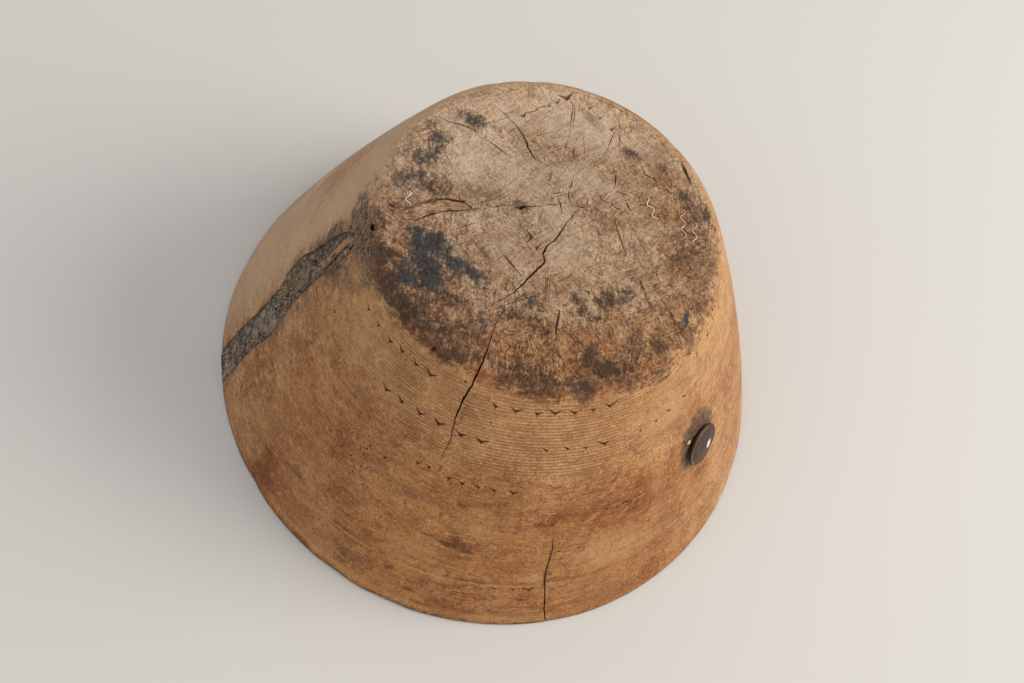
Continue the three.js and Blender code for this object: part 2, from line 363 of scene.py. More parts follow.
def body_relief(points, outside, foot, inside):
    """How far each point of the plain turned body moves out along its normal, in millimetres."""
    slow = layered_noise(points, 55.0, 1, 2) - 0.5
    rough = layered_noise(points, 8.0, 2, 3) - 0.5
    knobs = smooth(34.0, 8.0, np.hypot(points[:, 0] - PITH[0], points[:, 1] - PITH[1])) * foot
    relief = 0.8 * slow + (0.2 + 0.8 * foot + 1.3 * knobs) * rough
    relief -= outside * (LINE_DEPTH * line_strength(points) * fine_lines(points) + single_lines(points))
    relief -= foot * 0.35 * smooth(0.5, 0.8, layered_noise(points, 30.0, 3, 3))
    turning = 0.5 + 0.5 * np.sin(2.0 * math.pi * points[:, 2] / 6.3)
    relief -= inside * 0.12 * turning
    edge = smooth(HEIGHT - 16.0, HEIGHT - 3.0, points[:, 2]) * outside
    relief -= edge * 1.4 * smooth(0.5, 0.85, layered_noise(points, 14.0, 4, 2))
    rim = 1.0 - smooth(0.0, 9.0, points[:, 2])
    relief -= rim * 0.7 * smooth(0.45, 0.9, layered_noise(points, 18.0, 6, 2))
    return relief


def turned_body():
    rows = body_profile()
    normals, azimuths = profile_normals(rows), body_columns()
    count = len(azimuths)
    points = around(rows[:, :1], azimuths, rows[:, 1:]).reshape(-1, 3)
    outward = around(normals[:, :1], azimuths, normals[:, 1:]).reshape(-1, 3)
    rim_row = int(np.argmin(np.hypot(rows[:, 0] - RIM_RADIUS, rows[:, 1])))
    row_of = np.repeat(np.arange(len(rows)), count)
    on_outside = (row_of <= rim_row).astype(float)
    foot = smooth(FOOT_RADIUS, FOOT_RADIUS - SHOULDER, np.hypot(points[:, 0], points[:, 1])) * on_outside
    foot *= (points[:, 2] > HEIGHT - 1.0)
    outside = on_outside * (1.0 - foot)
    inside = 1.0 - on_outside
    points = points + outward * body_relief(points, outside, foot, inside)[:, None]
    points[:, 2] = np.clip(points[:, 2], 0.0, HEIGHT)
    return make_object("bowl_body_wood", *closed_at_poles(points, len(rows), count, HEIGHT, FLOOR_Z))


# ======== cutters: cracks, chips, pits, scratches and slots ========
CUTTER_LIFT = 1.5


def wander_path(places, spacing, amount, seed):
    """A path of (point, normal) places, filled in at an even spacing and made to wander like a crack."""
    points = [places[0][0]]
    normals = [places[0][1]]
    for (p0, n0), (p1, n1) in zip(places[:-1], places[1:]):
        count = max(1, int(round(np.linalg.norm(p1 - p0) / spacing)))
        for i in range(1, count + 1):
            t = i / count
            points.append(mix(p0, p1, t))
            normals.append(mix(n0, n1, t))
    points, normals = np.array(points), unit_rows(np.array(normals))
    across = unit_rows(np.cross(normals, unit_rows(np.gradient(points, axis=0))))
    swing = layered_noise(points + seed * 17.0, 4.0, seed, 3) - 0.5
    ends = np.minimum(np.arange(len(points)), np.arange(len(points))[::-1]) > 0
    points = points + across * (2.0 * amount * swing * ends)[:, None]
    return points, normals, across


def blade(places, width, depth, spacing=1.6, wander=0.5, seed=1, taper=(1.0, 1.0), lean=0.0):
    """A wedge that opens a crack along a path, widest in the middle; taper gives the shares at the ends."""
    points, normals, across = wander_path(places, spacing, wander, seed)
    count = len(points)
    t = np.linspace(0.0, 1.0, count)
    first, last = taper
    body = np.where(t < 0.5, mix(first, 1.0, smooth(0.0, 0.5, t)), mix(1.0, last, smooth(0.5, 1.0, t)))
    ragged = 0.7 + 0.6 * layered_noise(points + seed * 3.0, 3.0, seed + 50, 2)
    half = 0.5 * width * body * ragged
    deep = depth * (0.35 + 0.65 * body)
    grow = (deep + CUTTER_LIFT) / deep
    left = points + normals * CUTTER_LIFT + across * (half * grow)[:, None]
    right = points + normals * CUTTER_LIFT - across * (half * grow)[:, None]
    low = points - normals * deep[:, None] + across * (lean * half)[:, None]
    verts = np.vstack([left, right, low])
    faces = []
    for i in range(count - 1):
        j = i + 1
        faces.append((i, count + i, count + j, j))
        faces.append((count + i, 2 * count + i, 2 * count + j, count + j))
        faces.append((2 * count + i, i, j, 2 * count + j))
    faces.append((0, 2 * count, count))
    faces.append((count - 1, 2 * count - 1, 3 * count - 1))
    return verts, faces


def chevron(place, down, size, depth, left_arm=1.0, right_arm=1.0):
    """The notch left by a V-shaped punch: an arrowhead, deepest near its tip."""
    point, normal = place
    down = down - normal * np.dot(down, normal)
    down /= np.linalg.norm(down)
    side = np.cross(normal, down)
    tip = np.array([0.0, 0.5])
    inner = np.array([0.0, -0.06])
    left = np.array([-1.0, -0.52]) * left_arm
    right = np.array([1.0, -0.52]) * right_arm
    apex = np.array([0.0, 0.26])
    grow = (depth + CUTTER_LIFT) / depth
    verts = []
    for corner in (tip, right, inner, left):
        u, v = (apex + (corner - apex) * grow) * size
        verts.append(point + normal * CUTTER_LIFT + side * u + down * v)
    verts.append(point - normal * depth + down * apex[1] * size)
    faces = [(0, 1, 2), (0, 2, 3), (1, 0, 4), (2, 1, 4), (3, 2, 4), (0, 3, 4)]
    return np.array(verts), faces


def pit(place, along, length, width, depth, seed, sides):
    """A ragged hole with a rounded bottom, length along the direction given."""
    point, normal = place
    along = along - normal * np.dot(along, normal)
    along /= np.linalg.norm(along)
    side = np.cross(normal, along)
    levels = [(CUTTER_LIFT, 1.12), (-0.15 * depth, 0.94), (-0.6 * depth, 0.72), (-depth, 0.3)]
    rng = np.random.default_rng(seed)
    ragged = rng.uniform(0.75, 1.2, sides)
    verts = []
    for height, share in levels:
        for k in range(sides):
            a = 2.0 * math.pi * k / sides
            u = 0.5 * length * share * ragged[k] * math.cos(a)
            v = 0.5 * width * share * ragged[k] * math.sin(a)
            verts.append(point + normal * height + along * u + side * v)
    faces = [tuple(range(sides))]
    for i in range(len(levels) - 1):
        for k in range(sides):
            m = (k + 1) % sides
            faces.append((i * sides + k, (i + 1) * sides + k, (i + 1) * sides + m, i * sides + m))
    base = (len(levels) - 1) * sides
    faces.append(tuple(base + k for k in reversed(range(sides))))
    return np.array(verts), faces


def foot_path(*corners):
    return [on_foot(x, y) for x, y in corners]


def wall_path(*corners):
    return [on_wall(azimuth, z) for azimuth, z in corners]


# A crack that runs from the foot over its edge and down the wall.
OVER_THE_EDGE = foot_path((-5.5, -62), (-6, -72), (-5.5, -80), (-5, -88), (-4.4, -94)) + [on_shoulder(267.5)]
OVER_THE_EDGE += wall_path((267.7, 180), (267.0, 168), (267.1, 162), (267.5, 152), (268.3, 145), (268.6, 139),
                           (268.2, 131), (268.3, 125))

# Short cracks below the foot's edge: azimuth, lowest and highest height.
EDGE_CRACKS = [(350.7, 155, 163), (351.2, 172, 184), (344.4, 168, 178), (356.0, 176, 186)]

# The open cracks, on the foot running out from the pith and on the wall along the grain: path, width, depth,
# spacing of the path's points, wander, seed, shares of the width at the two ends, lean.
CRACKS = [
    (foot_path((8.5, 15), (7, 8), (6, 0), (4.5, -6), (2, -12), (2, -18), (4.5, -22.5), (2.5, -28), (0, -35),
               (-1.5, -41), (-4, -48), (-7.5, -54), (-11, -59), (-14.5, -65), (-16, -71)),
     1.25, 9.0, 1.2, 0.75, 11, (0.5, 0.12)),
    (OVER_THE_EDGE, 1.15, 8.0, 1.3, 0.6, 12, (0.25, 0.1)),
    (wall_path((299.8, 99), (299.8, 92), (300.3, 81), (300.8, 72), (300.6, 62), (300.4, 55), (300.5, 45),
               (301.2, 36), (301.7, 26), (302.1, 15), (302.8, 5), (303.3, -2)),
     0.9, 15.0, 1.5, 0.5, 13, (0.12, 1.0)),
    (foot_path((-57, 60.5), (-50, 58.5), (-45, 55.5), (-39, 52), (-35, 49), (-32, 45), (-28, 41),
               (-24.5, 39), (-15, 37.5), (-8, 36)), 1.1, 3.0, 1.3, 0.9, 14, (0.3, 0.1)),
    (foot_path((-89, 37), (-84, 38.3), (-79, 37.5), (-72, 39.5), (-66, 39.8), (-58, 39.5)),
     1.1, 3.0, 1.6, 0.3, 15, (0.3, 0.3)),
    (foot_path((-57, 37.5), (-50, 36), (-45, 34.5), (-40, 33.2), (-34, 32.6)),
     0.95, 2.6, 1.6, 0.3, 16, (0.3, 0.1)),
    (foot_path((29, 28), (32, 21), (38, 13), (42, 7.5), (46, 3.0), (52, -2)),
     0.85, 3.0, 1.6, 0.4, 17, (0.2, 0.2)),
    (foot_path((54, -4), (61, -12), (68, -21), (72, -25)), 0.7, 1.8, 1.6, 0.3, 18, (0.1, 0.1)),
    (foot_path((-39, -4.4), (-34, -2.8), (-30, 0.6), (-26, 2.4)), 0.8, 2.0, 1.6, 0.5, 41, (0.3, 0.3)),
    (foot_path((-10, 10.5), (-7, 13.5), (-3, 15.5), (0.5, 19)), 0.9, 2.2, 1.6, 0.6, 42, (0.3, 0.3)),
    (foot_path((13, 84), (11.2, 78), (11, 72), (11.5, 66), (11, 61)), 0.6, 2.0, 1.6, 0.2, 19, (0.1, 0.2)),
    (foot_path((20.5, 90), (19.5, 85), (17.5, 80)), 0.5, 1.5, 1.6, 0.2, 20, (0.1, 0.1)),
    (foot_path((14.5, 79), (15.5, 76), (17.5, 74)), 0.9, 1.2, 1.6, 0.2, 21, (0.1, 0.2)),
    (foot_path((30, 68), (33, 65), (35.5, 63), (37, 60.6), (41, 60), (44, 60), (46, 57), (48.5, 54.5)),
     0.9, 2.0, 1.6, 0.5, 22, (0.2, 0.3)),
    (foot_path((-24, 86), (-28, 81), (-33, 76), (-37, 70), (-43, 63), (-46, 57)),
     0.8, 1.2, 1.6, 1.2, 38, (0.3, 0.2)),
    *[(wall_path((azimuth, high), (azimuth + 0.4, (low + high) / 2), (azimuth, low)),
       0.8, 1.4, 1.6, 0.3, low, (0.3, 0.2)) for azimuth, low, high in EDGE_CRACKS],
    (foot_path((23, -47), (24, -52), (25, -57), (27, -64)), 1.6, 1.3, 1.6, 0.2, 23, (0.6, 0.1), -0.8),
    (foot_path((15, -54), (18, -56), (20.5, -59)), 0.6, 1.2, 1.6, 0.2, 24, (0.1, 0.1)),
    (foot_path((40, -66), (41, -70), (43, -75)), 0.6, 1.2, 1.6, 0.2, 25, (0.1, 0.1)),
    (foot_path((-1, -52), (-1.5, -60), (-3, -67)), 0.5, 1.2, 1.6, 0.2, 26, (0.1, 0.1)),
    (foot_path((-27, 2.3), (-22, 3.2), (-18, 6), (-13.5, 9), (-9.5, 10.8)),
     1.2, 3.0, 1.6, 0.6, 27, (0.2, 0.2)),
    (foot_path((-38, -6), (-45, -10), (-50, -13), (-55, -16), (-60, -19.4)),
     0.8, 2.5, 1.6, 0.3, 28, (0.2, 0.5)),
    (foot_path((-78.5, -33.4), (-75.5, -34.2), (-70, -31.6), (-64.6, -25.2), (-59.6, -20.3), (-52.6, -15.6),
               (-45, -10.6)), 1.2, 4.0, 1.6, 1.0, 39, (0.3, 0.5)),
    (foot_path((-79.4, -28), (-77.4, -25.6), (-72, -19.4), (-66.8, -14), (-59.6, -10), (-51, -6.9),
               (-40, -5.4)), 0.8, 2.0, 1.6, 0.9, 40, (0.4, 0.2)),
    (foot_path((-89, -27.5), (-87, -29.3), (-84, -29.5), (-82, -28.7)), 1.4, 2.2, 1.6, 0.3, 29, (0.3, 0.3)),
    (wall_path((205.0, -2), (205.2, 20)), 1.2, 2.0, 1.6, 0.5, 30, (1.0, 0.1)),
]

# Star cracks round the pith, each by its corners x, y.
PITH_CRACKS = [
    ((-4, 20.5), (-0.5, 17), (1.5, 13.5), (3.8, 12.2)), ((8, 20), (11, 21), (14, 23.2)),
    ((0.5, 29), (1.5, 24.5), (3.5, 22.2), (6, 21.6)), ((12.5, 29.5), (13, 26), (15.5, 23.5)),
    ((16.8, 23), (17.6, 20.3)), ((24, 42), (27, 41), (31, 41.5), (35, 42.2)),
    ((18, 33.8), (19.5, 31.6), (24, 31)), ((25, 34), (27.5, 30.7), (31, 30.6), (34, 29)),
    ((19, 54.7), (20.8, 53)), ((-13, 35.5), (-12, 28)), ((21, 54), (23.5, 46), (24.3, 42)),
    ((0, 37), (0.8, 33), (0.3, 29)), ((-6.8, 58), (-6.4, 54), (-4.8, 50.2)),
    ((33, 38), (36, 34.5), (40, 31.5)), ((-2, 26), (-5.5, 22.5), (-9, 21)),
]


def pith_cutters():
    """Short star cracks round the pith."""
    return [blade(foot_path(*path), 0.85, 2.0, spacing=1.2, wander=0.6, seed=60 + i, taper=(0.3, 0.3))
            for i, path in enumerate(PITH_CRACKS)]


# Rows of punched chevrons on the wall: azimuth, height, size, share of the left and the right arm.
WALL_CHEVRONS = [
    (240.2, 169.2, 3.6, 0.9, 0.7), (245.0, 171.0, 3.6, 1.0, 0.4), (250.6, 171.2, 3.2, 1.0, 0.5),
    (255.6, 172.0, 3.8, 1.0, 0.8), (276.4, 173.4, 3.6, 1.0, 0.3), (282.1, 174.0, 4.0, 0.8, 1.0),
    (288.2, 174.4, 4.0, 0.4, 1.0), (293.4, 176.0, 4.6, 1.2, 0.8), (299.2, 176.2, 4.4, 1.1, 0.8),
    (304.6, 176.8, 3.6, 0.7, 0.9), (310.0, 177.6, 4.6, 0.9, 1.1), (330.4, 180.2, 3.4, 0.6, 0.9),
    (335.8, 180.8, 3.0, 0.5, 0.8), (341.3, 182.2, 3.6, 0.9, 0.4), (351.5, 178.0, 3.0, 0.6, 0.4),
    (247.4, 145.2, 4.0, 1.0, 0.8), (252.6, 146.2, 4.0, 1.1, 0.4), (258.4, 147.4, 3.8, 1.0, 0.9),
    (264.0, 148.2, 4.2, 1.0, 0.8), (270.4, 148.0, 4.0, 0.9, 0.9), (276.0, 148.6, 4.4, 0.9, 1.0),
    (293.6, 150.6, 3.8, 1.1, 0.2), (299.4, 151.6, 3.6, 1.2, 0.2), (304.4, 151.0, 3.4, 0.9, 0.6),
    (309.8, 151.6, 4.8, 1.3, 0.7), (315.8, 151.8, 2.6, 0.6, 0.7), (321.0, 151.6, 2.8, 0.4, 0.5),
    (326.4, 152.4, 3.2, 0.9, 0.5), (331.4, 153.8, 3.6, 1.2, 0.3), (337.6, 155.0, 3.4, 1.2, 0.2),
    (263.8, 117.0, 2.8, 0.6, 0.4), (266.6, 118.2, 3.0, 0.6, 0.4), (272.0, 116.8, 2.8, 0.5, 0.5),
    (275.6, 116.6, 3.2, 1.0, 0.4), (279.6, 117.2, 3.2, 1.1, 0.2), (283.4, 117.8, 3.2, 1.1, 0.3),
    (288.0, 118.2, 3.8, 0.9, 1.0), (302.4, 70.2, 3.0, 0.7, 0.6), (307.0, 70.6, 3.4, 0.5, 1.1),
    (313.0, 98.8, 3.2, 0.5, 0.3), (318.4, 98.4, 3.8, 0.8, 0.4), (322.2, 98.4, 3.2, 0.6, 0.6),
    (290.4, 37.4, 3.6, 1.3, 0.1), (294.2, 37.2, 3.6, 0.9, 0.7), (297.6, 36.8, 4.2, 1.3, 0.8),
    (287.4, 36.0, 2.8, 0.4, 0.2), (261.0, 35.4, 3.0, 1.2, 0.1), (284.3, 48.2, 2.8, 0.5, 0.4),
    (228.6, 168.6, 3.4, 1.0, 0.6), (234.4, 169.0, 3.2, 0.8, 0.5), (221.0, 143.0, 3.0, 0.6, 0.6),
    (256.0, 106.8, 3.0, 0.5, 0.6), (12.4, 178.4, 3.4, 0.8, 0.6), (19.6, 178.8, 3.8, 1.0, 0.5),
    (27.4, 178.2, 3.6, 0.6, 1.0), (62.0, 176.4, 3.6, 1.0, 0.7), (69.2, 176.8, 4.0, 0.9, 1.0),
    (76.8, 176.2, 3.6, 0.5, 1.0), (94.6, 151.2, 3.8, 1.0, 0.4), (101.2, 151.8, 4.2, 0.9, 0.9),
    (108.4, 151.4, 3.8, 1.0, 0.6), (115.0, 150.6, 3.4, 0.5, 0.8), (139.0, 175.2, 3.8, 1.0, 0.8),
    (146.2, 174.8, 4.0, 0.6, 1.0), (153.0, 174.2, 3.6, 0.9, 0.5), (166.4, 147.6, 3.8, 0.8, 1.0),
    (173.2, 147.2, 4.0, 1.0, 0.6), (44.0, 117.6, 3.2, 1.0, 0.4), (49.6, 118.0, 3.6, 0.9, 0.8),
    (128.0, 70.8, 3.4, 0.6, 0.9), (133.0, 70.4, 3.2, 1.0, 0.3),
]

# Chevrons on the foot, close to its edge: x, y, the heading of the tip in degrees, size, arms.
FOOT_CHEVRONS = [
    (-23.8, 89.2, -48, 7.4, 1.0, 1.1), (-27.6, 83.0, -40, 5.0, 0.9, 0.9), (-31.2, 77.9, -20, 4.6, 1.1, 0.5),
    (-42.3, 64.0, -40, 5.4, 1.0, 0.8), (-16.0, 91.0, -10, 3.6, 0.3, 0.9), (-8.8, 88.2, -62, 4.0, 0.3, 1.1),
    (-0.6, 84.8, -60, 4.0, 0.6, 1.0), (8.2, 80.6, -60, 4.6, 0.3, 1.1), (-9.2, -11.4, 20, 6.0, 1.2, 0.9),
    (-3.6, -15.6, -60, 4.6, 0.3, 1.3), (33.0, -29.5, 60, 4.2, 0.9, 1.0), (28.4, -36.5, 50, 4.0, 1.0, 0.6),
    (34.2, -37.6, -80, 3.6, 0.4, 0.9),
]


# A wall chevron's reach and depth and a foot chevron's depth, as shares of the size in the table.
CHEVRON_REACH, CHEVRON_DEPTH, FOOT_CHEVRON_DEPTH = 1.22, 0.42, 0.2


def chevron_cutters():
    cuts = []
    for azimuth, z, size, left, right in WALL_CHEVRONS:
        reach, depth = CHEVRON_REACH * size, CHEVRON_DEPTH * size
        cuts.append(chevron(on_wall(azimuth, z), DOWN, reach, depth, left, right))
    for x, y, heading, size, left, right in FOOT_CHEVRONS:
        a = math.radians(heading)
        towards = np.array([math.cos(a), math.sin(a), 0.0])
        cuts.append(chevron(on_foot(x, y), towards, size, FOOT_CHEVRON_DEPTH * size, left, right))
    return cuts


# Small pits in the wall: azimuth, height.
WALL_SPECKS = [
    (251.6, 106), (251.3, 103), (251.5, 98.4), (252.3, 92.4), (252.2, 89.6), (251.3, 82.0), (250.8, 78.6),
    (245.8, 90.6), (246.2, 104), (250.1, 99), (254.7, 79), (247.0, 65.6), (265.0, 66.6), (261.7, 66.4),
    (277.8, 122.5), (276.6, 162.0), (235.8, 113.5), (221.2, 142.6), (200.5, 182.0), (215.0, 160.5),
    (312.4, 98.2), (314.0, 97.4), (315.8, 97.2), (317.2, 97.8), (319.6, 97.0), (320.8, 98.8), (324.0, 98.4),
    (314.2, 103.0), (325.8, 120.6), (327.6, 121.4), (329.6, 120.2), (249.0, 91.0), (253.6, 91.2),
    (248.0, 104.2), (257.0, 91.4), (256.0, 80.0), (296.6, 96.0), (299.4, 93.4), (298.2, 97.6),
    (294.8, 60.6), (288.8, 60.0),
]


# Worm holes, nail holes and torn-out chips: place, direction, length, width, depth, seed, sides.
PITS = [
    (on_foot(-90.2, -45.6), (3.0, -5.5, 0.0), 6.6, 2.8, 6.0, 1, 9),
    (on_foot(-20.0, 4.3), (2.0, 2.6, 0.0), 4.2, 2.4, 4.0, 2, 7),
    (on_foot(-18.6, 5.4), (2.0, -0.6, 0.0), 2.6, 1.4, 2.5, 3, 7),
    (on_wall(189.0, 186.0), UP, 2.4, 1.6, 2.5, 4, 9),
    (on_wall(252.5, 184.8), (0.05, 0.0, 1.0), 5.6, 3.6, 1.8, 5, 7),
    (on_wall(265.4, 179.6), UP, 1.8, 1.6, 1.2, 6, 9), (on_wall(358.0, 185.6), UP, 2.4, 1.2, 2.0, 7, 9),
    (on_wall(1.8, 180.0), UP, 3.4, 1.0, 2.0, 8, 9),
    (on_foot(46.5, 41.0), (2.0, -1.2, 0.0), 2.8, 1.2, 2.0, 9, 9),
    (on_foot(62.0, 31.0), (1.0, 0.4, 0.0), 2.2, 1.0, 1.4, 10, 9),
    (on_wall(269.0, 158.2), UP, 1.4, 1.0, 0.9, 12, 9), (on_wall(274.5, 165.0), UP, 1.6, 0.6, 0.9, 13, 9),
    (on_wall(307.7, 139.0), UP, 1.2, 1.2, 1.0, 14, 9), (on_wall(336.9, 116.0), UP, 2.2, 1.4, 0.8, 15, 9),
    (on_wall(335.9, 103.0), UP, 2.0, 0.8, 0.9, 16, 9),
]


def pit_cutters():
    cuts = [pit(*row) for row in PITS]
    for i, (azimuth, z) in enumerate(WALL_SPECKS):
        cuts.append(pit(on_wall(azimuth, z), UP, 2.2, 1.1, 0.9, 100 + i, 6))
    return cuts


# Straight scratches on the foot: start, end, width, depth.
FOOT_SCRATCHES = [
    (-18.4, 87, -13.6, 69, 1.0, 0.4), (-17.2, 87, -11.8, 69, 0.8, 0.35), (-13.6, 69, -9.6, 42, 1.9, 0.3),
    (-24, 80.5, -34.2, 66.6, 0.7, 0.35), (-25.6, 80.5, -35.6, 67.6, 0.7, 0.3),
    (-22.6, 80, -32.4, 66, 0.7, 0.3), (-19, 86.5, -27, 80, 0.6, 0.25), (-15.4, 88.4, 4.0, 80.0, 0.7, 0.35),
    (-15.4, 86.8, 6.0, 77.6, 0.7, 0.35), (-14.0, 84.8, 8.0, 74.8, 0.7, 0.3),
    (-12.0, 82.8, 9.6, 72.2, 0.6, 0.25), (-22, -27, -4.6, -36.6, 1.2, 0.45), (1.4, -37.4, 9, -43, 0.9, 0.3),
    (-14.6, -15.4, -3.4, -24.6, 0.9, 0.3), (-12.8, -12.8, -2.4, -21.8, 0.8, 0.3),
    (6.2, -25.6, 12.4, -43, 0.7, 0.3), (8.0, -26.2, 14.6, -50, 0.7, 0.3), (9.8, -28, 15.8, -46, 0.6, 0.25),
    (29.6, -56.4, 45, -66.4, 0.9, 0.3), (31.2, -55.2, 46, -64.6, 0.8, 0.25),
    (-65.5, -63, -47, -90, 0.9, 0.35), (-74, -65, -64, -79, 0.8, 0.3), (-71, -66, -61.6, -80, 0.6, 0.25),
    (44, 62, 58, 54, 0.6, 0.25), (44, 64, 58.6, 56.2, 0.6, 0.25), (50.5, 85, 65, 67, 2.6, 0.8),
    (26, 62, 38, 57, 0.6, 0.25), (22, 66, 34, 59.6, 0.6, 0.25), (-88, 52, -79, 40, 0.6, 0.2),
    (60, -30, 66, -44, 0.6, 0.25), (18, 12, 27, 13.4, 0.7, 0.25), (18, 9.6, 26, 10.6, 0.6, 0.25),
    (-66, 62, -58, 50, 0.6, 0.2), (-36, -58, -26, -74, 0.5, 0.2), (70, -54, 66, -80, 0.7, 0.25),
    (68, -54, 64, -80, 0.6, 0.25), (-38, -29, -21, -36, 0.8, 0.3), (-44, -26, -24, -33.5, 0.6, 0.25),
    (12, -30, 22, -44, 0.6, 0.25), (24, -20, 34, -40, 0.6, 0.25), (-6, 70, 2, 52, 0.6, 0.2),
    (-30, 60, -22, 44, 0.6, 0.2), (36, 20, 52, 4, 0.6, 0.2), (40, 24, 56, 10, 0.5, 0.2),
    (50, -66, 62, -80, 0.7, 0.25), (-50, 20, -36, 6, 0.5, 0.2), (58, 64, 70, 50, 0.7, 0.25),
    (60, 60, 73, 46, 0.6, 0.25), (-84, 60, -72, 66, 0.6, 0.2), (-66, 8, -52, 18, 0.5, 0.2),
    (-10, -38, 2, -60, 0.5, 0.2),
]


# What a scratch's width and depth in the table are multiplied by.
SCRATCH_WIDENING, SCRATCH_DEEPENING = 1.45, 1.8


def scratch_cutters():
    cuts = []
    for i, (x0, y0, x1, y1, width, depth) in enumerate(FOOT_SCRATCHES):
        places = foot_path((x0, y0), (x1, y1))
        width, depth = SCRATCH_WIDENING * width, SCRATCH_DEEPENING * depth
        cuts.append(blade(places, width, depth, 4.0, 0.1, 200 + i, (0.3, 0.3)))
    return cuts


# The notch in the rim where the filler ends, and dents in the edges, with the same columns.
DENTS = [
    (on_wall(210.6, 0.5), DOWN, 9.0, 5.0, 3.2, 31, 11), (on_wall(203.4, 1.0), DOWN, 6.0, 3.0, 2.0, 32, 9),
    (on_wall(251.0, -0.6), DOWN, 3.0, 12.0, 1.4, 33, 11),
]


# ---- outlines of the pieces that are let in ----
# The corrugated fasteners: x, y of the first end, heading in degrees, length.
FASTENERS = [
    (-81.5, -15.5, -68, 10.5), (42.5, 47.0, -47, 17.0), (65.5, 49.0, -69, 21.0), (74.8, 44.0, -71, 15.5),
]
# how bright each fastener's rubbed top edge is painted: bare iron with a painted sheen
FASTENER_SHINE = [0.9, 1.0, 0.6, 0.6]
FASTENER_WAVE = 7.6
FASTENER_SWING = 1.5
FASTENER_THICKNESS = 0.9


def corrugated_outline(x, y, heading, length, grow=0.0, per_wave=12):
    steps = int(round(length / FASTENER_WAVE * per_wave))
    along = np.linspace(-grow, length + grow, steps + 1)
    turn = 2.0 * math.pi / FASTENER_WAVE
    lean = np.arctan(FASTENER_SWING * turn * np.cos(turn * along))
    middle = FASTENER_SWING * np.sin(turn * along)
    half = FASTENER_THICKNESS / 2.0 + grow
    low = np.column_stack([along + np.sin(lean) * half, middle - np.cos(lean) * half])
    high = np.column_stack([along - np.sin(lean) * half, middle + np.cos(lean) * half])
    a = math.radians(heading)
    turned = np.array([[math.cos(a), math.sin(a)], [-math.sin(a), math.cos(a)]])
    return low @ turned + [x, y], high @ turned + [x, y]


def slab(top, bottom):
    """A closed solid between two grids of points of the same shape."""
    rows, columns = top.shape[:2]
    count = rows * columns
    faces = []
    for i in range(rows - 1):
        for j in range(columns - 1):
            a, b = i * columns + j, (i + 1) * columns + j
            faces.append((a, a + 1, b + 1, b))
            faces.append((count + a, count + b, count + b + 1, count + a + 1))
    for i in range(rows - 1):
        for a, b in ((i * columns, (i + 1) * columns), ((i + 2) * columns - 1, (i + 1) * columns - 1)):
            faces.append((a, b, count + b, count + a))
    last = (rows - 1) * columns
    for j in range(columns - 1):
        for a, b in ((j + 1, j), (last + j, last + j + 1)):
            faces.append((a, b, count + b, count + a))
    return np.vstack([top.reshape(-1, 3), bottom.reshape(-1, 3)]), faces


def lofted(sections):
    """A closed solid through a row of closed sections with equally many points, capped at both ends."""
    rows, columns = sections.shape[:2]
    faces = ring_faces(rows, columns)
    faces.append(tuple(range(columns)))
    faces.append(tuple((rows - 1) * columns + j for j in reversed(range(columns))))
    return sections.reshape(-1, 3), faces


def prism_between(low, high, bottom, top):
    """A closed strip between two edge lines of equal length, from height bottom to height top."""
    flat = np.stack([low, high], axis=1)
    heights = [np.full(flat.shape[:2] + (1,), z) for z in (top, bottom)]
    return slab(*[np.concatenate([flat, height], axis=2) for height in heights])


# The two long edges of the sliver in the foot, as x, y.
SLIVER_LOW = [
    (-77.5, -32.5), (-76, -33.5), (-70.5, -31), (-65, -24.5), (-60, -19.7), (-53, -15), (-46, -10.5),
]
SLIVER_HIGH = [
    (-79, -28.5), (-77, -26), (-71.5, -20), (-66.5, -14.5), (-59.5, -10.5), (-51, -7.5), (-45, -9.2),
]


def resampled(corners, count):
    corners = np.array(corners, float)
    lengths = np.concatenate([[0.0], np.cumsum(np.linalg.norm(np.diff(corners, axis=0), axis=1))])
    at = np.linspace(0.0, lengths[-1], count)
    return np.column_stack([np.interp(at, lengths, corners[:, 0]), np.interp(at, lengths, corners[:, 1])])


def sliver_edges(grow, count=44):
    low, high = resampled(SLIVER_LOW, count), resampled(SLIVER_HIGH, count)
    place = np.column_stack([low, np.zeros(count)])
    low = low + (layered_noise(place, 3.0, 301, 2)[:, None] - 0.5) * [0.9, -0.9]
    high = high + (layered_noise(place + 50.0, 3.0, 302, 2)[:, None] - 0.5) * [0.9, -0.9]
    apart = unit_rows(high - low)
    return low - apart * grow, high + apart * grow


# The filler strip's two edges: height, azimuth of the left edge, azimuth of the right edge.
STRIP_EDGES = [
    (0.0, 203.4, 210.8), (20.0, 203.0, 210.6), (40.0, 202.6, 210.3), (60.0, 203.0, 211.0),
    (75.0, 203.0, 211.8), (88.0, 202.0, 210.4), (100.0, 199.4, 209.6), (115.0, 198.0, 209.0),
    (130.0, 199.4, 208.8), (150.0, 200.6, 209.4), (164.0, 202.0, 210.0), (172.0, 204.6, 208.6),
]
STRIP_TOP = 172.0


def strip_edges(z):
    heights = [row[0] for row in STRIP_EDGES]
    left = np.interp(z, heights, [row[1] for row in STRIP_EDGES])
    right = np.interp(z, heights, [row[2] for row in STRIP_EDGES])
    place = np.column_stack([z, np.zeros_like(z), np.zeros_like(z)])
    left = left + 0.7 * (layered_noise(place, 7.0, 311, 3) - 0.5)
    right = right + 0.7 * (layered_noise(place + 90.0, 7.0, 312, 3) - 0.5)
    return left, right


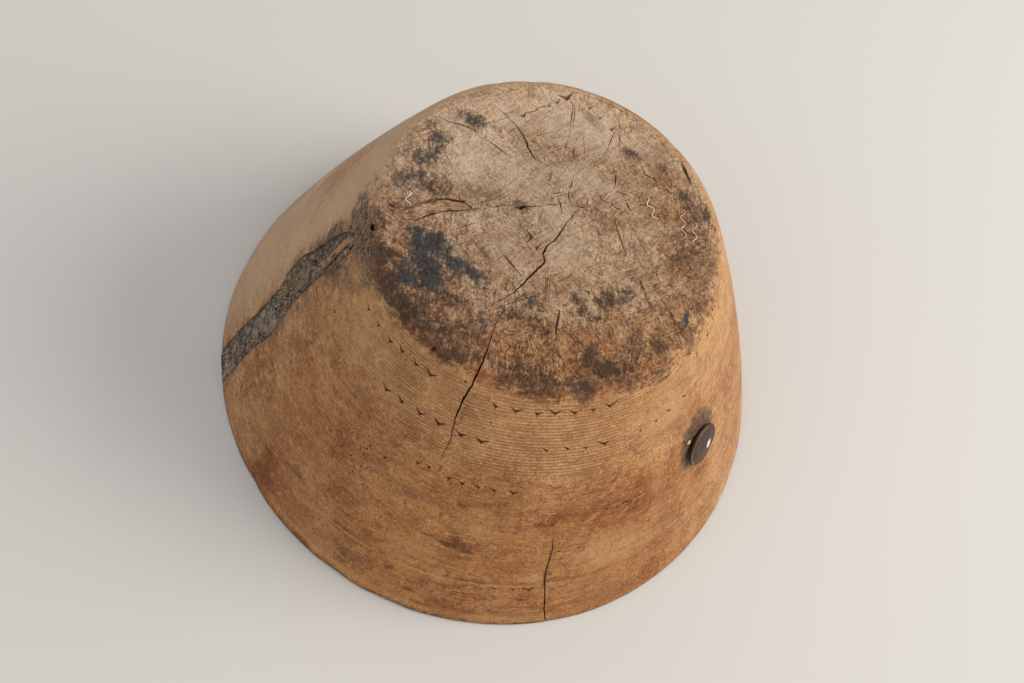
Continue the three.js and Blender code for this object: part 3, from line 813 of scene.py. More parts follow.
def strip_solid(z_from, z_to, outer, inner, grow, across=30, spacing=0.6):
    """The closed solid between the strip's edges: outer and inner are functions of (azimuth, height) giving a
    distance out from the nominal wall."""
    rows = max(4, int(round((z_to - z_from) / spacing)))
    z = np.linspace(z_from, z_to, rows + 1)
    left, right = strip_edges(z)
    grow_degrees = np.degrees(grow / wall_radius(z))
    left, right = left - grow_degrees, right + grow_degrees
    share = np.linspace(0.0, 1.0, across + 1)
    azimuth = np.radians(left[:, None] + (right - left)[:, None] * share)
    height = np.broadcast_to(z[:, None], azimuth.shape)
    return slab(*[around(wall_radius(height) + offset(azimuth, height), azimuth, height)
                  for offset in (outer, inner)])


def at_depth(depth):
    """An even sheet for strip_solid, this far in from the nominal wall."""
    return lambda azimuth, height: np.full(height.shape, -depth)


def wall_frame(azimuth, z):
    """Turns local points, with Z out of the wall, into the part's frame."""
    point, normal = on_wall(azimuth, z)
    turn = Vector((0, 0, 1)).rotation_difference(Vector(normal)).to_matrix()
    turn = np.array(turn)
    return lambda local: np.asarray(local) @ turn.T + point


def turned_solid(rows, steps):
    """A closed solid of revolution about local Z; its first and last rows lie on the axis."""
    inner = rows[1:-1]
    return closed_at_poles(turned_points(inner, steps), len(inner), steps, rows[0][1], rows[-1][1])


def bore(azimuth, z, radius, bottom, top):
    """A round cutter through the wall."""
    points, faces = turned_solid([(0, top), (radius, top), (radius, bottom), (0, bottom)], 40)
    return wall_frame(azimuth, z)(points), faces


# Clearances of the slots round the pieces, in millimetres.
FASTENER_GAP, SLIVER_GAP, STRIP_GAP = 0.22, 0.2, 0.12
WALL_AT_RIVET = wall_thickness(RIVET_HEIGHT) * math.cos(math.atan(wall_slope(RIVET_HEIGHT)))
SEAT = -WALL_AT_RIVET + 0.4
SHANK_HOLE = 4.3
ROVE_RADIUS = 11.5
ROVE_THICKNESS = 1.6
ROVE_GAP = 0.3
NAIL_HOLE, NAIL_HOLE_DEPTH = 1.1, 9.4
ABOVE_WALL = 6.0


def slot_cutters():
    cuts = []
    for x, y, heading, length in FASTENERS:
        low, high = corrugated_outline(x, y, heading, length, grow=FASTENER_GAP)
        cuts.append(prism_between(low, high, HEIGHT - FASTENER_DEPTH - 0.5, HEIGHT + CUTTER_LIFT))
    low, high = sliver_edges(SLIVER_GAP)
    cuts.append(prism_between(low, high, HEIGHT - SLIVER_DEPTH - 0.4, HEIGHT + CUTTER_LIFT))
    groove_floor = at_depth(STRIP_DEPTH + 0.3)
    cuts.append(strip_solid(-3.0, STRIP_TOP + 0.4, at_depth(-3.0), groove_floor, STRIP_GAP, 12, 2.0))
    cuts.append(bore(RIVET_AZIMUTH, RIVET_HEIGHT, SHANK_HOLE, -2.0 * WALL_AT_RIVET, ABOVE_WALL))
    cuts.append(bore(RIVET_AZIMUTH, RIVET_HEIGHT, ROVE_RADIUS + ROVE_GAP, SEAT - 12.0, SEAT))
    cuts.append(bore(NAIL_AZIMUTH, NAIL_HEIGHT, NAIL_HOLE, -NAIL_HOLE_DEPTH, ABOVE_WALL))
    return cuts


def cut_body(body):
    """Cuts every crack, chip, pit, scratch and slot out of the turned body."""
    shapes = slot_cutters() + [blade(*row) for row in CRACKS] + pith_cutters() + chevron_cutters()
    shapes += pit_cutters() + scratch_cutters() + [pit(*row) for row in DENTS]
    tools = bpy.data.collections.new("cutters")
    bpy.context.scene.collection.children.link(tools)
    made = []
    for i, (points, faces) in enumerate(shapes):
        tool = make_object(f"cutter_{i}", points, faces)
        bpy.context.scene.collection.objects.unlink(tool)
        tools.objects.link(tool)
        made.append(tool)
    cut = body.modifiers.new("cuts", "BOOLEAN")
    cut.operation = "DIFFERENCE"
    cut.solver = "MANIFOLD"
    cut.operand_type = "COLLECTION"
    cut.collection = tools
    graph = bpy.context.evaluated_depsgraph_get()
    result = bpy.data.meshes.new_from_object(body.evaluated_get(graph), depsgraph=graph)
    body.modifiers.clear()
    body.data = result
    for tool in made:
        mesh = tool.data
        bpy.data.objects.remove(tool)
        bpy.data.meshes.remove(mesh)
    bpy.data.collections.remove(tools)


# ======== stains and colour fields, worked out at the body's vertices ========
# Blotches on the foot: x, y, half sizes along x and y, strength.
FOOT_STAINS = {
    "blue": [
        (-54, -42, 14, 10, 1.0), (-57, -53, 12, 9, 1.0), (-50, -62, 9, 10, 1.0), (-68, -38, 9, 4, 0.9),
        (-38, -47, 13, 6, 0.95), (-27, -48, 8, 5, 0.85), (-60, -66, 10, 8, 0.8), (-66, 47, 14, 5, 0.8),
        (-79, 22, 6, 12, 0.7), (-82, 8, 7, 8, 0.7), (-80, -3, 8, 5, 0.6), (-86, -12, 7, 8, 0.6),
        (45, -88, 7, 4, 0.6), (90, -19, 3, 8, 0.7), (54, -20, 4, 9, 0.6), (97, -30, 3, 9, 0.5),
        (25, 70.5, 8, 3.5, 0.9), (46, 70, 4, 3, 0.7), (-14, -74, 7, 6, 0.5), (4, -50, 6, 4, 0.5),
    ],
    "dark": [
        (-78, -60, 10, 8, 0.9), (-80, -71, 9, 6, 0.9), (-66, -71, 9, 11, 0.9), (-57, -82, 10, 8, 0.9),
        (-48, -83, 13, 10, 0.8), (-38, -89, 13, 6, 0.8), (-35, -68, 9, 5, 0.7), (-28, -92, 12, 5, 0.6),
        (10, -95, 14, 5, 0.7), (22, -90, 20, 7, 0.7), (-10, -93, 10, 5, 0.6), (58, -69, 10, 7, 1.0),
        (48, -68, 6, 10, 0.7), (50, -82, 10, 9, 0.8), (68, -50, 8, 12, 0.6), (80, -43, 7, 9, 0.7),
        (78, 24, 10, 16, 0.5), (70, 30, 8, 9, 0.4), (64, 56, 8, 5, 0.8), (-44, -64, 14, 10, 0.6),
        (75, 51, 11, 9, 0.6), (88, -55, 6, 10, 0.6), (45, -30, 6, 12, 0.8), (30, -37, 6, 5, 0.7),
        (38, -44, 8, 6, 0.6), (8, -48, 9, 6, 0.65), (3, -62, 9, 7, 0.55), (18, -62, 8, 8, 0.5),
        (-28, -34, 8, 5, 0.4), (-72, -8, 9, 6, 0.7), (-64, -4, 8, 4, 0.5), (-90, -40, 6, 12, 0.6),
        (-86, 30, 6, 6, 0.4), (-20, 5, 5, 4, 0.6), (-18, -52, 12, 7, 0.4), (70, -65, 8, 10, 0.5),
        (30, -80, 10, 6, 0.4), (-22, -84, 8, 6, 0.5), (16, -76, 10, 6, 0.3),
    ],
    "brown": [
        (45, 42, 9, 7, 0.7), (50, 36, 7, 5, 0.6), (40, 80, 6, 9, 0.4), (48, -32, 8, 11, 0.6),
        (66, -6, 16, 18, 0.3), (78, 24, 18, 30, 0.6), (62, 44, 16, 12, 0.7), (20, -70, 40, 16, 0.6),
        (-5, -85, 40, 10, 0.7), (88, -22, 9, 26, 0.6), (-50, -28, 22, 8, 0.45), (-20, -46, 20, 12, 0.5),
        (70, -40, 20, 25, 0.5), (-70, -40, 18, 24, 0.6), (-40, -75, 24, 18, 0.6), (-60, -8, 16, 10, 0.5),
        (40, -60, 18, 20, 0.5), (-6, 52, 4, 7, 0.6), (56, 62, 14, 12, 0.5), (-84, 10, 10, 30, 0.3),
        (30, 20, 16, 12, 0.25), (-36, 2, 18, 6, 0.35),
    ],
    "pale": [
        (-58, 22, 12, 18, 0.9), (5, 40, 16, 12, 0.7), (20, 40, 9, 6, 0.9), (10, -10, 14, 16, 0.6),
        (-50, 62, 20, 14, 0.7), (-10, 72, 30, 18, 0.9), (30, 78, 16, 10, 0.6), (-30, 20, 22, 18, 0.5),
        (63, 31, 3, 2, 0.8), (-20, -30, 18, 14, 0.4), (60, 72, 8, 8, 0.4), (0, 10, 10, 8, 0.7),
        (-80, 38, 12, 12, 0.6), (-68, 56, 12, 8, 0.5),
    ],
}

# Blotches on the wall: azimuth, height, half width along the wall and half height in millimetres, strength.
WALL_STAINS = {
    "dark": [
        (277.6, 68, 5, 2.2, 1.0), (281.6, 67.0, 4, 3.0, 1.0), (279.2, 72, 4, 2.0, 0.8),
        (272.8, 19.5, 6, 2.0, 0.8), (259, 20, 8, 5, 0.45), (263, 22, 8, 4, 0.4), (248.5, 4.5, 7, 2, 0.7),
        (235, 15, 6, 12, 0.4), (240.5, 46, 5, 3, 0.6), (296.5, 28, 5, 2, 0.5), (291, 14, 5, 3, 0.4),
        (255, 50, 9, 3.5, 0.5), (261, 48, 7, 3, 0.4), (273.5, 88, 1.2, 5, 0.7), (228, 128, 5, 5, 0.3),
        (247, 120, 4, 3, 0.4), (243, 104, 5, 3, 0.35), (320, 88, 4, 5, 0.5), (300.8, 58, 1.4, 40, 0.5),
        (268.4, 150, 1.5, 26, 0.4), (222, 60, 9, 7, 0.3), (217, 30, 9, 12, 0.4), (250, 84, 5, 4, 0.3),
        (336, 60, 8, 10, 0.25), (251, 99, 4, 7, 0.35), (90, 60, 30, 20, 0.4), (140, 110, 26, 18, 0.4),
        (40, 140, 18, 14, 0.35), (60, 30, 24, 14, 0.4), (165, 40, 20, 26, 0.35),
    ],
    "brown": [
        (318, 96, 34, 22, 0.6), (279.5, 70, 9, 6, 0.9), (284, 20, 14, 24, 0.6), (328, 14, 14, 14, 0.7),
        (234, 20, 12, 22, 0.8), (322, 90, 7, 9, 0.8), (313, 124, 22, 14, 0.4), (297, 30, 8, 9, 0.5),
        (282.5, 104.5, 5, 3, 0.8), (277, 102, 4, 3, 0.7), (291, 102, 6, 3, 0.7), (297, 94, 6, 5, 0.8),
        (300, 99, 7, 5, 0.7), (313, 103, 5, 3, 0.6), (322.5, 86, 5, 5, 0.5), (280.5, 30, 6, 9, 0.7),
        (282, 15, 10, 8, 0.7), (277, 12, 8, 5, 0.6), (236, 22, 14, 18, 0.6), (250, 62, 10, 8, 0.5),
        (246, 92, 12, 14, 0.5), (262, 78, 8, 8, 0.35), (222, 100, 16, 20, 0.35), (216, 50, 16, 30, 0.5),
        (266, 34, 12, 7, 0.4), (304, 20, 12, 10, 0.35), (318, 116, 10, 6, 0.4), (258, 132, 8, 6, 0.4),
        (340, 135, 9, 8, 0.3), (345, 78, 8, 9, 0.5), (240, 140, 10, 8, 0.35), (286, 128, 8, 4, 0.3),
        (100, 100, 40, 26, 0.5), (60, 150, 22, 14, 0.4), (130, 40, 40, 22, 0.5), (20, 60, 24, 20, 0.4),
        (170, 120, 30, 30, 0.5), (0, 100, 16, 24, 0.35),
    ],
    "pale": [
        (297, 47, 8, 4, 0.8), (330, 150, 16, 14, 0.5), (316, 60, 26, 22, 0.5), (270, 55, 18, 8, 0.35),
        (284, 88, 10, 6, 0.4), (245, 33, 8, 4, 0.5), (327, 100, 8, 12, 0.4), (305, 130, 16, 8, 0.3),
        (213.5, 174, 2, 1.5, 0.9), (262, 62, 12, 4, 0.3), (80, 120, 26, 16, 0.3),
    ],
    "blue": [
        (206.6, 24, 15, 40, 0.9), (206.8, 76, 15, 34, 0.9), (204.3, 114, 17, 28, 0.95),
        (205.2, 150, 19, 24, 1.0), (206, 178, 28, 13, 1.0), (214, 158, 13, 18, 0.6), (211, 116, 9, 22, 0.4),
        (218, 176, 16, 9, 0.6),
    ],
}


def blotches(u, v, noise, entries, u_size=None):
    """The strongest of a list of ragged, soft-edged blotches at each point."""
    field = np.zeros(len(v))
    for u0, v0, half_u, half_v, strength in entries:
        du = (u - u0) if u_size is None else ((u - u0 + 180.0) % 360.0 - 180.0) * u_size
        away = np.hypot(du / half_u, (v - v0) / half_v) + 1.3 * (noise - 0.5)
        field = np.maximum(field, strength * smooth(1.45, 0.4, away))
    return field


def distance_to_profile(radius, z, rows):
    """The shortest distance from each (radius, z) to a line of profile rows."""
    start, along = rows[:-1], np.diff(rows, axis=0)
    length = np.maximum((along ** 2).sum(axis=1), 1e-9)
    nearest = np.empty(len(radius))
    for first in range(0, len(radius), 20000):
        r, h = radius[first:first + 20000, None], z[first:first + 20000, None]
        t = ((r - start[:, 0]) * along[:, 0] + (h - start[:, 1]) * along[:, 1]) / length
        t = np.clip(t, 0.0, 1.0)
        dr = r - start[:, 0] - t * along[:, 0]
        dh = h - start[:, 1] - t * along[:, 1]
        nearest[first:first + 20000] = np.sqrt((dr ** 2 + dh ** 2).min(axis=1))
    return nearest


def body_zones(points):
    """What the colour fields share: where each point of the cut body lies, and its noises."""
    x, y, z = points.T
    at = SimpleNamespace(x=x, y=y, z=z, radius=np.hypot(x, y), azimuth=azimuth_of(points))
    rows = body_profile()[::3]
    rim = int(np.argmin(np.hypot(rows[:, 0] - RIM_RADIUS, rows[:, 1])))
    outer_gap = distance_to_profile(at.radius, z, np.vstack([[0.0, HEIGHT], rows[:rim + 1]]))
    inner_gap = distance_to_profile(at.radius, z, np.vstack([rows[rim:], [0.0, FLOOR_Z]]))
    at.inside = (inner_gap < outer_gap).astype(float)
    outside = 1.0 - at.inside
    at.foot = smooth(FOOT_RADIUS + 2.0, FOOT_RADIUS - 6.0, at.radius) * smooth(HEIGHT - 14.0, HEIGHT - 5.0, z)
    at.foot *= outside
    at.on_face = (at.radius < FOOT_RADIUS - SHOULDER) * (z > HEIGHT - 12.0)
    relief = body_relief(points, outside * (1.0 - at.on_face), outside * at.on_face, at.inside)
    at.buried = np.minimum(outer_gap, inner_gap) + np.minimum(relief, 0.0) - 0.05
    at.ragged = layered_noise(points, 6.0, 71, 3)
    at.broad = layered_noise(points, 26.0, 72, 3)
    at.off_foot = (1.0 - at.foot) * outside
    at.per_degree = at.radius * math.pi / 180.0
    return at


def stain_fields(at):
    near_foot = smooth(172.0, 183.0, at.z) * (1.0 - at.inside)
    fields = {}
    for name in ("dark", "blue", "brown", "pale"):
        on_top = blotches(at.x, at.y, at.ragged, FOOT_STAINS[name]) * near_foot
        on_side = blotches(at.azimuth, at.z, at.ragged, WALL_STAINS[name], at.per_degree) * at.off_foot
        fields[name] = np.maximum(on_top, on_side)
    return fields


def deepen(fields, name, values):
    fields[name] = np.maximum(fields[name], values)


def paint_foot_ring(fields, at):
    """The dark ring where the foot has stood on the ground, spilling over the edge."""
    azimuth, ragged, broad = at.azimuth, at.ragged, at.broad
    facing = smooth(185.0, 215.0, azimuth) * (1.0 - smooth(355.0, 385.0, azimuth + 360.0 * (azimuth < 90.0)))
    spill = mix(183.5, 178.0, smooth(240.0, 205.0, azimuth) * smooth(180.0, 200.0, azimuth))
    ring = smooth(78.0, 99.0, at.radius + 16.0 * (broad - 0.5))
    ring *= smooth(spill - 4.0, spill + 3.0, at.z + 6.0 * (ragged - 0.5))
    ring *= mix(0.12, 1.0, facing) * (1.0 - 0.55 * smooth(320.0, 345.0, azimuth)) * (1.0 - at.inside)
    deepen(fields, "dark", 0.72 * ring * smooth(0.3, 0.6, broad))
    grime = smooth(34.0, 84.0, at.radius + 22.0 * (broad - 0.5)) * facing * at.on_face
    grime *= 1.0 - 0.35 * smooth(300.0, 335.0, azimuth)
    deepen(fields, "brown", np.maximum(0.85 * ring, 0.75 * grime))
    deepen(fields, "dark", 0.5 * grime * smooth(0.35, 0.7, ragged))


def paint_rivet_halo(fields, at):
    """Rust that has spread into the wood round the rivet, and a brown streak above and below it."""
    spread = ((at.azimuth - HALO_AZIMUTH + 180.0) % 360.0 - 180.0) * at.per_degree
    rise = at.z - HALO_HEIGHT
    halo = np.hypot(spread / 19.5, rise / mix(21.0, 27.0, smooth(0.0, 20.0, rise))) + 0.3 * (at.ragged - 0.5)
    fields["halo"] = smooth(1.1, 0.72, halo) * at.off_foot
    streak = smooth(9.0, 3.0, np.abs(spread)) * smooth(62.0, 30.0, np.abs(rise)) * at.off_foot
    deepen(fields, "brown", 0.4 * streak)


def paint_rim(fields, at):
    """The rim's stained edge, and the band just above it that is rubbed pale in front."""
    edge = smooth(4.0, 0.8, at.z + 3.0 * (at.ragged - 0.5)) * (at.radius > RIM_RADIUS - 6.0)
    worn = smooth(12.0, 8.0, at.z) * smooth(3.0, 5.5, at.z)
    worn *= smooth(228.0, 245.0, at.azimuth) * smooth(318.0, 300.0, at.azimuth)
    deepen(fields, "dark", 0.9 * edge)
    deepen(fields, "pale", 0.55 * worn * at.off_foot)


def paint_body(body):
    """Writes the fields that the wood's material reads: where it is worn, stained, cut, lined or inside; the
    cut and line fields also drive painted shade and painted light.
    """
    points = points_of(body)
    at = body_zones(points)
    fields = stain_fields(at)
    paint_foot_ring(fields, at)
    paint_rivet_halo(fields, at)
    paint_rim(fields, at)
    # the tool lines' depth, which the material paints as shade in the grooves and as light on raised lines
    lines = line_strength(points) * fine_lines(points) + 1.6 * single_lines(points)
    fields["line"] = at.off_foot * np.clip(lines, -1, 1)
    # how deep each point lies below the plain surface, which the material paints as shade and dirt in the
    # cuts
    fields["cut"] = smooth(0.1, 1.1, at.buried)
    fields["foot"] = at.foot
    fields["inside"] = at.inside
    for name, values in fields.items():
        set_field(body, name, values)


# ======== material graphs ========
def tone(red, green, blue):
    """A linear colour from an 8-bit screen colour."""
    def linear(value):
        c = value / 255.0
        return c / 12.92 if c <= 0.04045 else ((c + 0.055) / 1.055) ** 2.4
    return (linear(red), linear(green), linear(blue), 1.0)


class Graph:
    """Builds one material's nodes; sizes are in millimetres of the object's own space."""

    def __init__(self, name):
        self.material = bpy.data.materials.new(name)
        self.material.use_nodes = True
        self.tree = self.material.node_tree
        self.tree.nodes.clear()
        output = self.tree.nodes.new("ShaderNodeOutputMaterial")
        self.shader = self.tree.nodes.new("ShaderNodeBsdfPrincipled")
        self.tree.links.new(self.shader.outputs[0], output.inputs[0])
        coordinates = self.tree.nodes.new("ShaderNodeTexCoord")
        self.place = self.vector("SCALE", coordinates.outputs["Object"], scale=1.0 / MM)

    def feed(self, socket, value):
        if isinstance(value, bpy.types.NodeSocket):
            self.tree.links.new(value, socket)
        else:
            socket.default_value = value

    def vector(self, operation, a, b=None, scale=None):
        node = self.tree.nodes.new("ShaderNodeVectorMath")
        node.operation = operation
        self.feed(node.inputs[0], a)
        if b is not None:
            self.feed(node.inputs[1], b)
        if scale is not None:
            self.feed(node.inputs["Scale"], scale)
        return node.outputs[1] if operation in ("LENGTH", "DOT_PRODUCT", "DISTANCE") else node.outputs[0]

    def math(self, operation, a, b=0.0, clamp=False):
        node = self.tree.nodes.new("ShaderNodeMath")
        node.operation = operation
        node.use_clamp = clamp
        self.feed(node.inputs[0], a)
        self.feed(node.inputs[1], b)
        return node.outputs[0]

    def split(self, vector):
        node = self.tree.nodes.new("ShaderNodeSeparateXYZ")
        self.feed(node.inputs[0], vector)
        return node.outputs

    def join(self, x, y, z):
        node = self.tree.nodes.new("ShaderNodeCombineXYZ")
        for socket, value in zip(node.inputs, (x, y, z)):
            self.feed(socket, value)
        return node.outputs[0]

    def blend(self, factor, a, b, mode="MIX"):
        node = self.tree.nodes.new("ShaderNodeMix")
        node.data_type = "RGBA"
        node.blend_type = mode
        self.feed(node.inputs[0], factor)
        self.feed(node.inputs[6], a)
        self.feed(node.inputs[7], b)
        return node.outputs[2]

    def slide(self, factor, a, b):
        node = self.tree.nodes.new("ShaderNodeMix")
        self.feed(node.inputs[0], factor)
        self.feed(node.inputs[2], a)
        self.feed(node.inputs[3], b)
        return node.outputs[0]

    def coats(self, colour, coats):
        """Tones laid over a colour in turn, each where a noise goes from start to full, to a strength."""
        for noise, start, full, strength, over in coats:
            colour = self.blend(self.rise(noise, start, full, 0.0, strength), colour, over)
        return colour

    def tint(self, factor, colour, red, green, blue):
        """A colour multiplied by three shares, as far as the factor says."""
        return self.blend(factor, colour, (red, green, blue, 1.0), "MULTIPLY")

    def noise(self, vector, size, detail=3.0, roughness=0.55, distortion=0.0):
        node = self.tree.nodes.new("ShaderNodeTexNoise")
        self.feed(node.inputs["Vector"], vector)
        node.inputs["Scale"].default_value = 1.0 / size
        node.inputs["Detail"].default_value = detail
        node.inputs["Roughness"].default_value = roughness
        node.inputs["Distortion"].default_value = distortion
        return node.outputs["Fac"]

    def cells(self, vector, size):
        node = self.tree.nodes.new("ShaderNodeTexVoronoi")
        self.feed(node.inputs["Vector"], vector)
        node.inputs["Scale"].default_value = 1.0 / size
        return node.outputs["Distance"]

    def field(self, name):
        node = self.tree.nodes.new("ShaderNodeAttribute")
        node.attribute_name = name
        return node.outputs["Fac"]

    def rise(self, value, low, high, first=0.0, last=1.0):
        node = self.tree.nodes.new("ShaderNodeMapRange")
        node.interpolation_type = "SMOOTHSTEP"
        for socket, number in zip(node.inputs, (value, low, high, first, last)):
            self.feed(socket, number)
        return node.outputs[0]

    def stained(self, name, noise):
        """A painted stain: whole where it is strong, broken up by a fine noise where it is weak."""
        field = self.field(name)
        value = self.math("ADD", self.math("MULTIPLY", field, 1.4), noise)
        value = self.math("SUBTRACT", value, 0.75, clamp=True)
        return self.math("MULTIPLY", value, self.rise(field, 0.02, 0.25))

    def strokes(self, angle, size, stretch, sway):
        """Fine strokes across the XY plane, near an angle in degrees and bent by a slow noise."""
        a = math.radians(angle)
        run = self.vector("DOT_PRODUCT", self.place, (math.cos(a), math.sin(a), 0.0))
        side = self.vector("DOT_PRODUCT", self.place, (-math.sin(a), math.cos(a), 0.0))
        side = self.math("ADD", side, self.math("MULTIPLY", sway, 9.0))
        return self.noise(self.join(self.math("MULTIPLY", run, stretch), side, angle), size, 3.0, 0.6)

    def facing(self, ox, oy, azimuth, low, high, ragged=0.0):
        """1 on the side of the bowl that looks along an azimuth, fading to 0 away from it."""
        a = math.radians(azimuth)
        east, north = self.math("MULTIPLY", ox, math.cos(a)), self.math("MULTIPLY", oy, math.sin(a))
        towards = self.math("ADD", east, north)
        return self.rise(self.math("ADD", towards, ragged), low, high)

    def bump(self, height, distance, below=None):
        node = self.tree.nodes.new("ShaderNodeBump")
        node.inputs["Strength"].default_value = 1.0
        node.inputs["Distance"].default_value = distance * MM
        self.feed(node.inputs["Height"], height)
        if below is not None:
            self.feed(node.inputs["Normal"], below)
        return node.outputs[0]

    def finish(self, colour, roughness, normal, metallic=0.0, specular=0.35):
        self.feed(self.shader.inputs["Base Color"], colour)
        self.feed(self.shader.inputs["Roughness"], roughness)
        self.feed(self.shader.inputs["Metallic"], metallic)
        self.feed(self.shader.inputs["Normal"], normal)
        self.shader.inputs["Specular IOR Level"].default_value = specular
        return self.material


def wood_noises(g):
    """What the wood's colours and bumps share: directions, places and noises, named for what they draw."""
    x, y, z = g.split(g.place)
    n = SimpleNamespace(x=x, y=y, z=z)
    n.ox, n.oy, _ = g.split(g.vector("NORMALIZE", g.join(x, y, 0.0)))
    from_pith = g.vector("SUBTRACT", g.join(x, y, 0.0), (*PITH, 0.0))
    px, py, _ = g.split(g.vector("NORMALIZE", from_pith))
    n.pith_away = g.vector("LENGTH", from_pith)
    n.cloud = g.noise(g.place, 38.0, 4.0, 0.6, 0.4)
    n.mottle = g.noise(g.place, 11.0, 7.0, 0.68, 0.5)
    n.patch = g.noise(g.vector("ADD", g.place, (300.0, 0.0, 0.0)), 5.0, 5.0, 0.7, 0.4)
    n.blot = g.noise(g.place, 3.4, 6.0, 0.75, 0.6)
    n.fleck = g.noise(g.place, 2.2, 4.0, 0.7, 0.3)
    n.speck = g.noise(g.vector("ADD", g.place, (0.0, 500.0, 0.0)), 1.3, 3.0, 0.7, 0.4)
    n.dust = g.noise(g.place, 0.8, 2.0, 0.6)

    # on the side, hairlines and bands run round with the turning, pores and veins run up the slope
    level = g.math("SUBTRACT", z, g.math("MULTIPLY", g.rise(z, 110.0, 175.0, 4.0, 8.7), n.ox))
    round_x, round_y = g.math("MULTIPLY", n.ox, 12.0), g.math("MULTIPLY", n.oy, 12.0)
    up_x, up_y = g.math("MULTIPLY", n.ox, 140.0), g.math("MULTIPLY", n.oy, 140.0)
    n.hair = g.noise(g.join(round_x, round_y, level), 1.0, 4.0, 0.7)
    n.band = g.noise(g.join(round_x, round_y, g.math("MULTIPLY", level, 0.8)), 5.0, 3.0, 0.6)
    n.pore = g.noise(g.join(up_x, up_y, g.math("MULTIPLY", z, 0.16)), 1.0, 3.0, 0.65)
    n.vein = g.noise(g.join(up_x, up_y, g.math("MULTIPLY", z, 0.1)), 6.0, 4.0, 0.6, 0.4)

    # on the foot, fibres run out from the pith, under strokes and long scratches
    out_x, out_y = g.math("MULTIPLY", px, 45.0), g.math("MULTIPLY", py, 45.0)
    n.fibre = g.noise(g.join(out_x, out_y, g.math("MULTIPLY", n.pith_away, 0.2)), 0.9, 4.0, 0.7)
    sway = g.noise(g.place, 16.0, 2.0, 0.5)
    n.first = g.strokes(62.0, 0.8, 0.09, sway)
    n.second = g.strokes(-24.0, 0.9, 0.1, sway)
    n.third = g.strokes(104.0, 0.7, 0.08, sway)
    n.scratches = (g.strokes(47.0, 1.2, 0.02, 0.0), g.strokes(-40.0, 1.2, 0.02, 0.0))
    return n


def wall_colour(g, n):
    """The side: honey-brown wood, redder in front, bleached on the flank, painted darker on the side away
    from the key light as painted shade over a browner tone, with tool lines painted dark in their grooves as
    painted shade and dirt and pale on raised lines as painted light.
    """
    wall = g.blend(g.rise(n.cloud, 0.36, 0.64), tone(216, 156, 96), tone(186, 122, 66))
    wall = g.coats(wall, [
        (n.mottle, 0.48, 0.68, 0.95, tone(152, 86, 36)),
        (n.patch, 0.5, 0.3, 0.85, tone(236, 180, 116)),
        (n.blot, 0.52, 0.66, 0.8, tone(140, 78, 32)),
        (n.vein, 0.52, 0.75, 0.3, tone(144, 86, 44)),
        (n.band, 0.5, 0.7, 0.5, tone(146, 86, 42)),
        (n.hair, 0.5, 0.7, 0.5, tone(122, 70, 34)),
        (n.hair, 0.48, 0.3, 0.5, tone(244, 198, 138)),
        (n.pore, 0.56, 0.72, 0.3, tone(112, 64, 32)),
        (n.fleck, 0.54, 0.7, 0.8, tone(112, 62, 30)),
        (n.speck, 0.54, 0.68, 0.8, tone(104, 56, 26)),
        (n.speck, 0.44, 0.3, 0.5, tone(250, 210, 154)),
        (n.z, 120.0, 150.0, 0.2, tone(240, 188, 128)),
    ])
    # painted shade over a browner tone: the side looking towards azimuth 226, away from the key light, is
    # painted darker
    shaded_browner_side = g.facing(n.ox, n.oy, 226.0, 0.72, 0.98)
    wall = g.blend(shaded_browner_side, wall, g.blend(0.2, wall, tone(96, 62, 36)))
    ragged = g.math("MULTIPLY", g.math("SUBTRACT", n.cloud, 0.5), 1.6)
    flank, fading = g.facing(n.ox, n.oy, 120.0, 0.02, 0.33), g.facing(n.ox, n.oy, 188.0, 0.0, 1.0, ragged)
    wall = g.blend(g.math("MULTIPLY", flank, fading), wall, g.blend(0.6, wall, tone(206, 172, 138)))
    warm = g.math("MULTIPLY", g.facing(n.ox, n.oy, 285.0, 0.32, 0.75), g.rise(n.z, 142.0, 96.0))
    wall = g.tint(g.math("MULTIPLY", warm, 0.85), wall, 0.85, 0.71, 0.47)
    # painted shade and light: the tool lines are painted dark down in their grooves, with dirt, and pale on
    # the raised lines
    return g.coats(wall, [
        (g.field("line"), 0.1, 0.9, 0.45, tone(116, 68, 38)),
        (g.field("line"), 0.1, -0.5, 0.6, tone(240, 200, 150)),
    ])


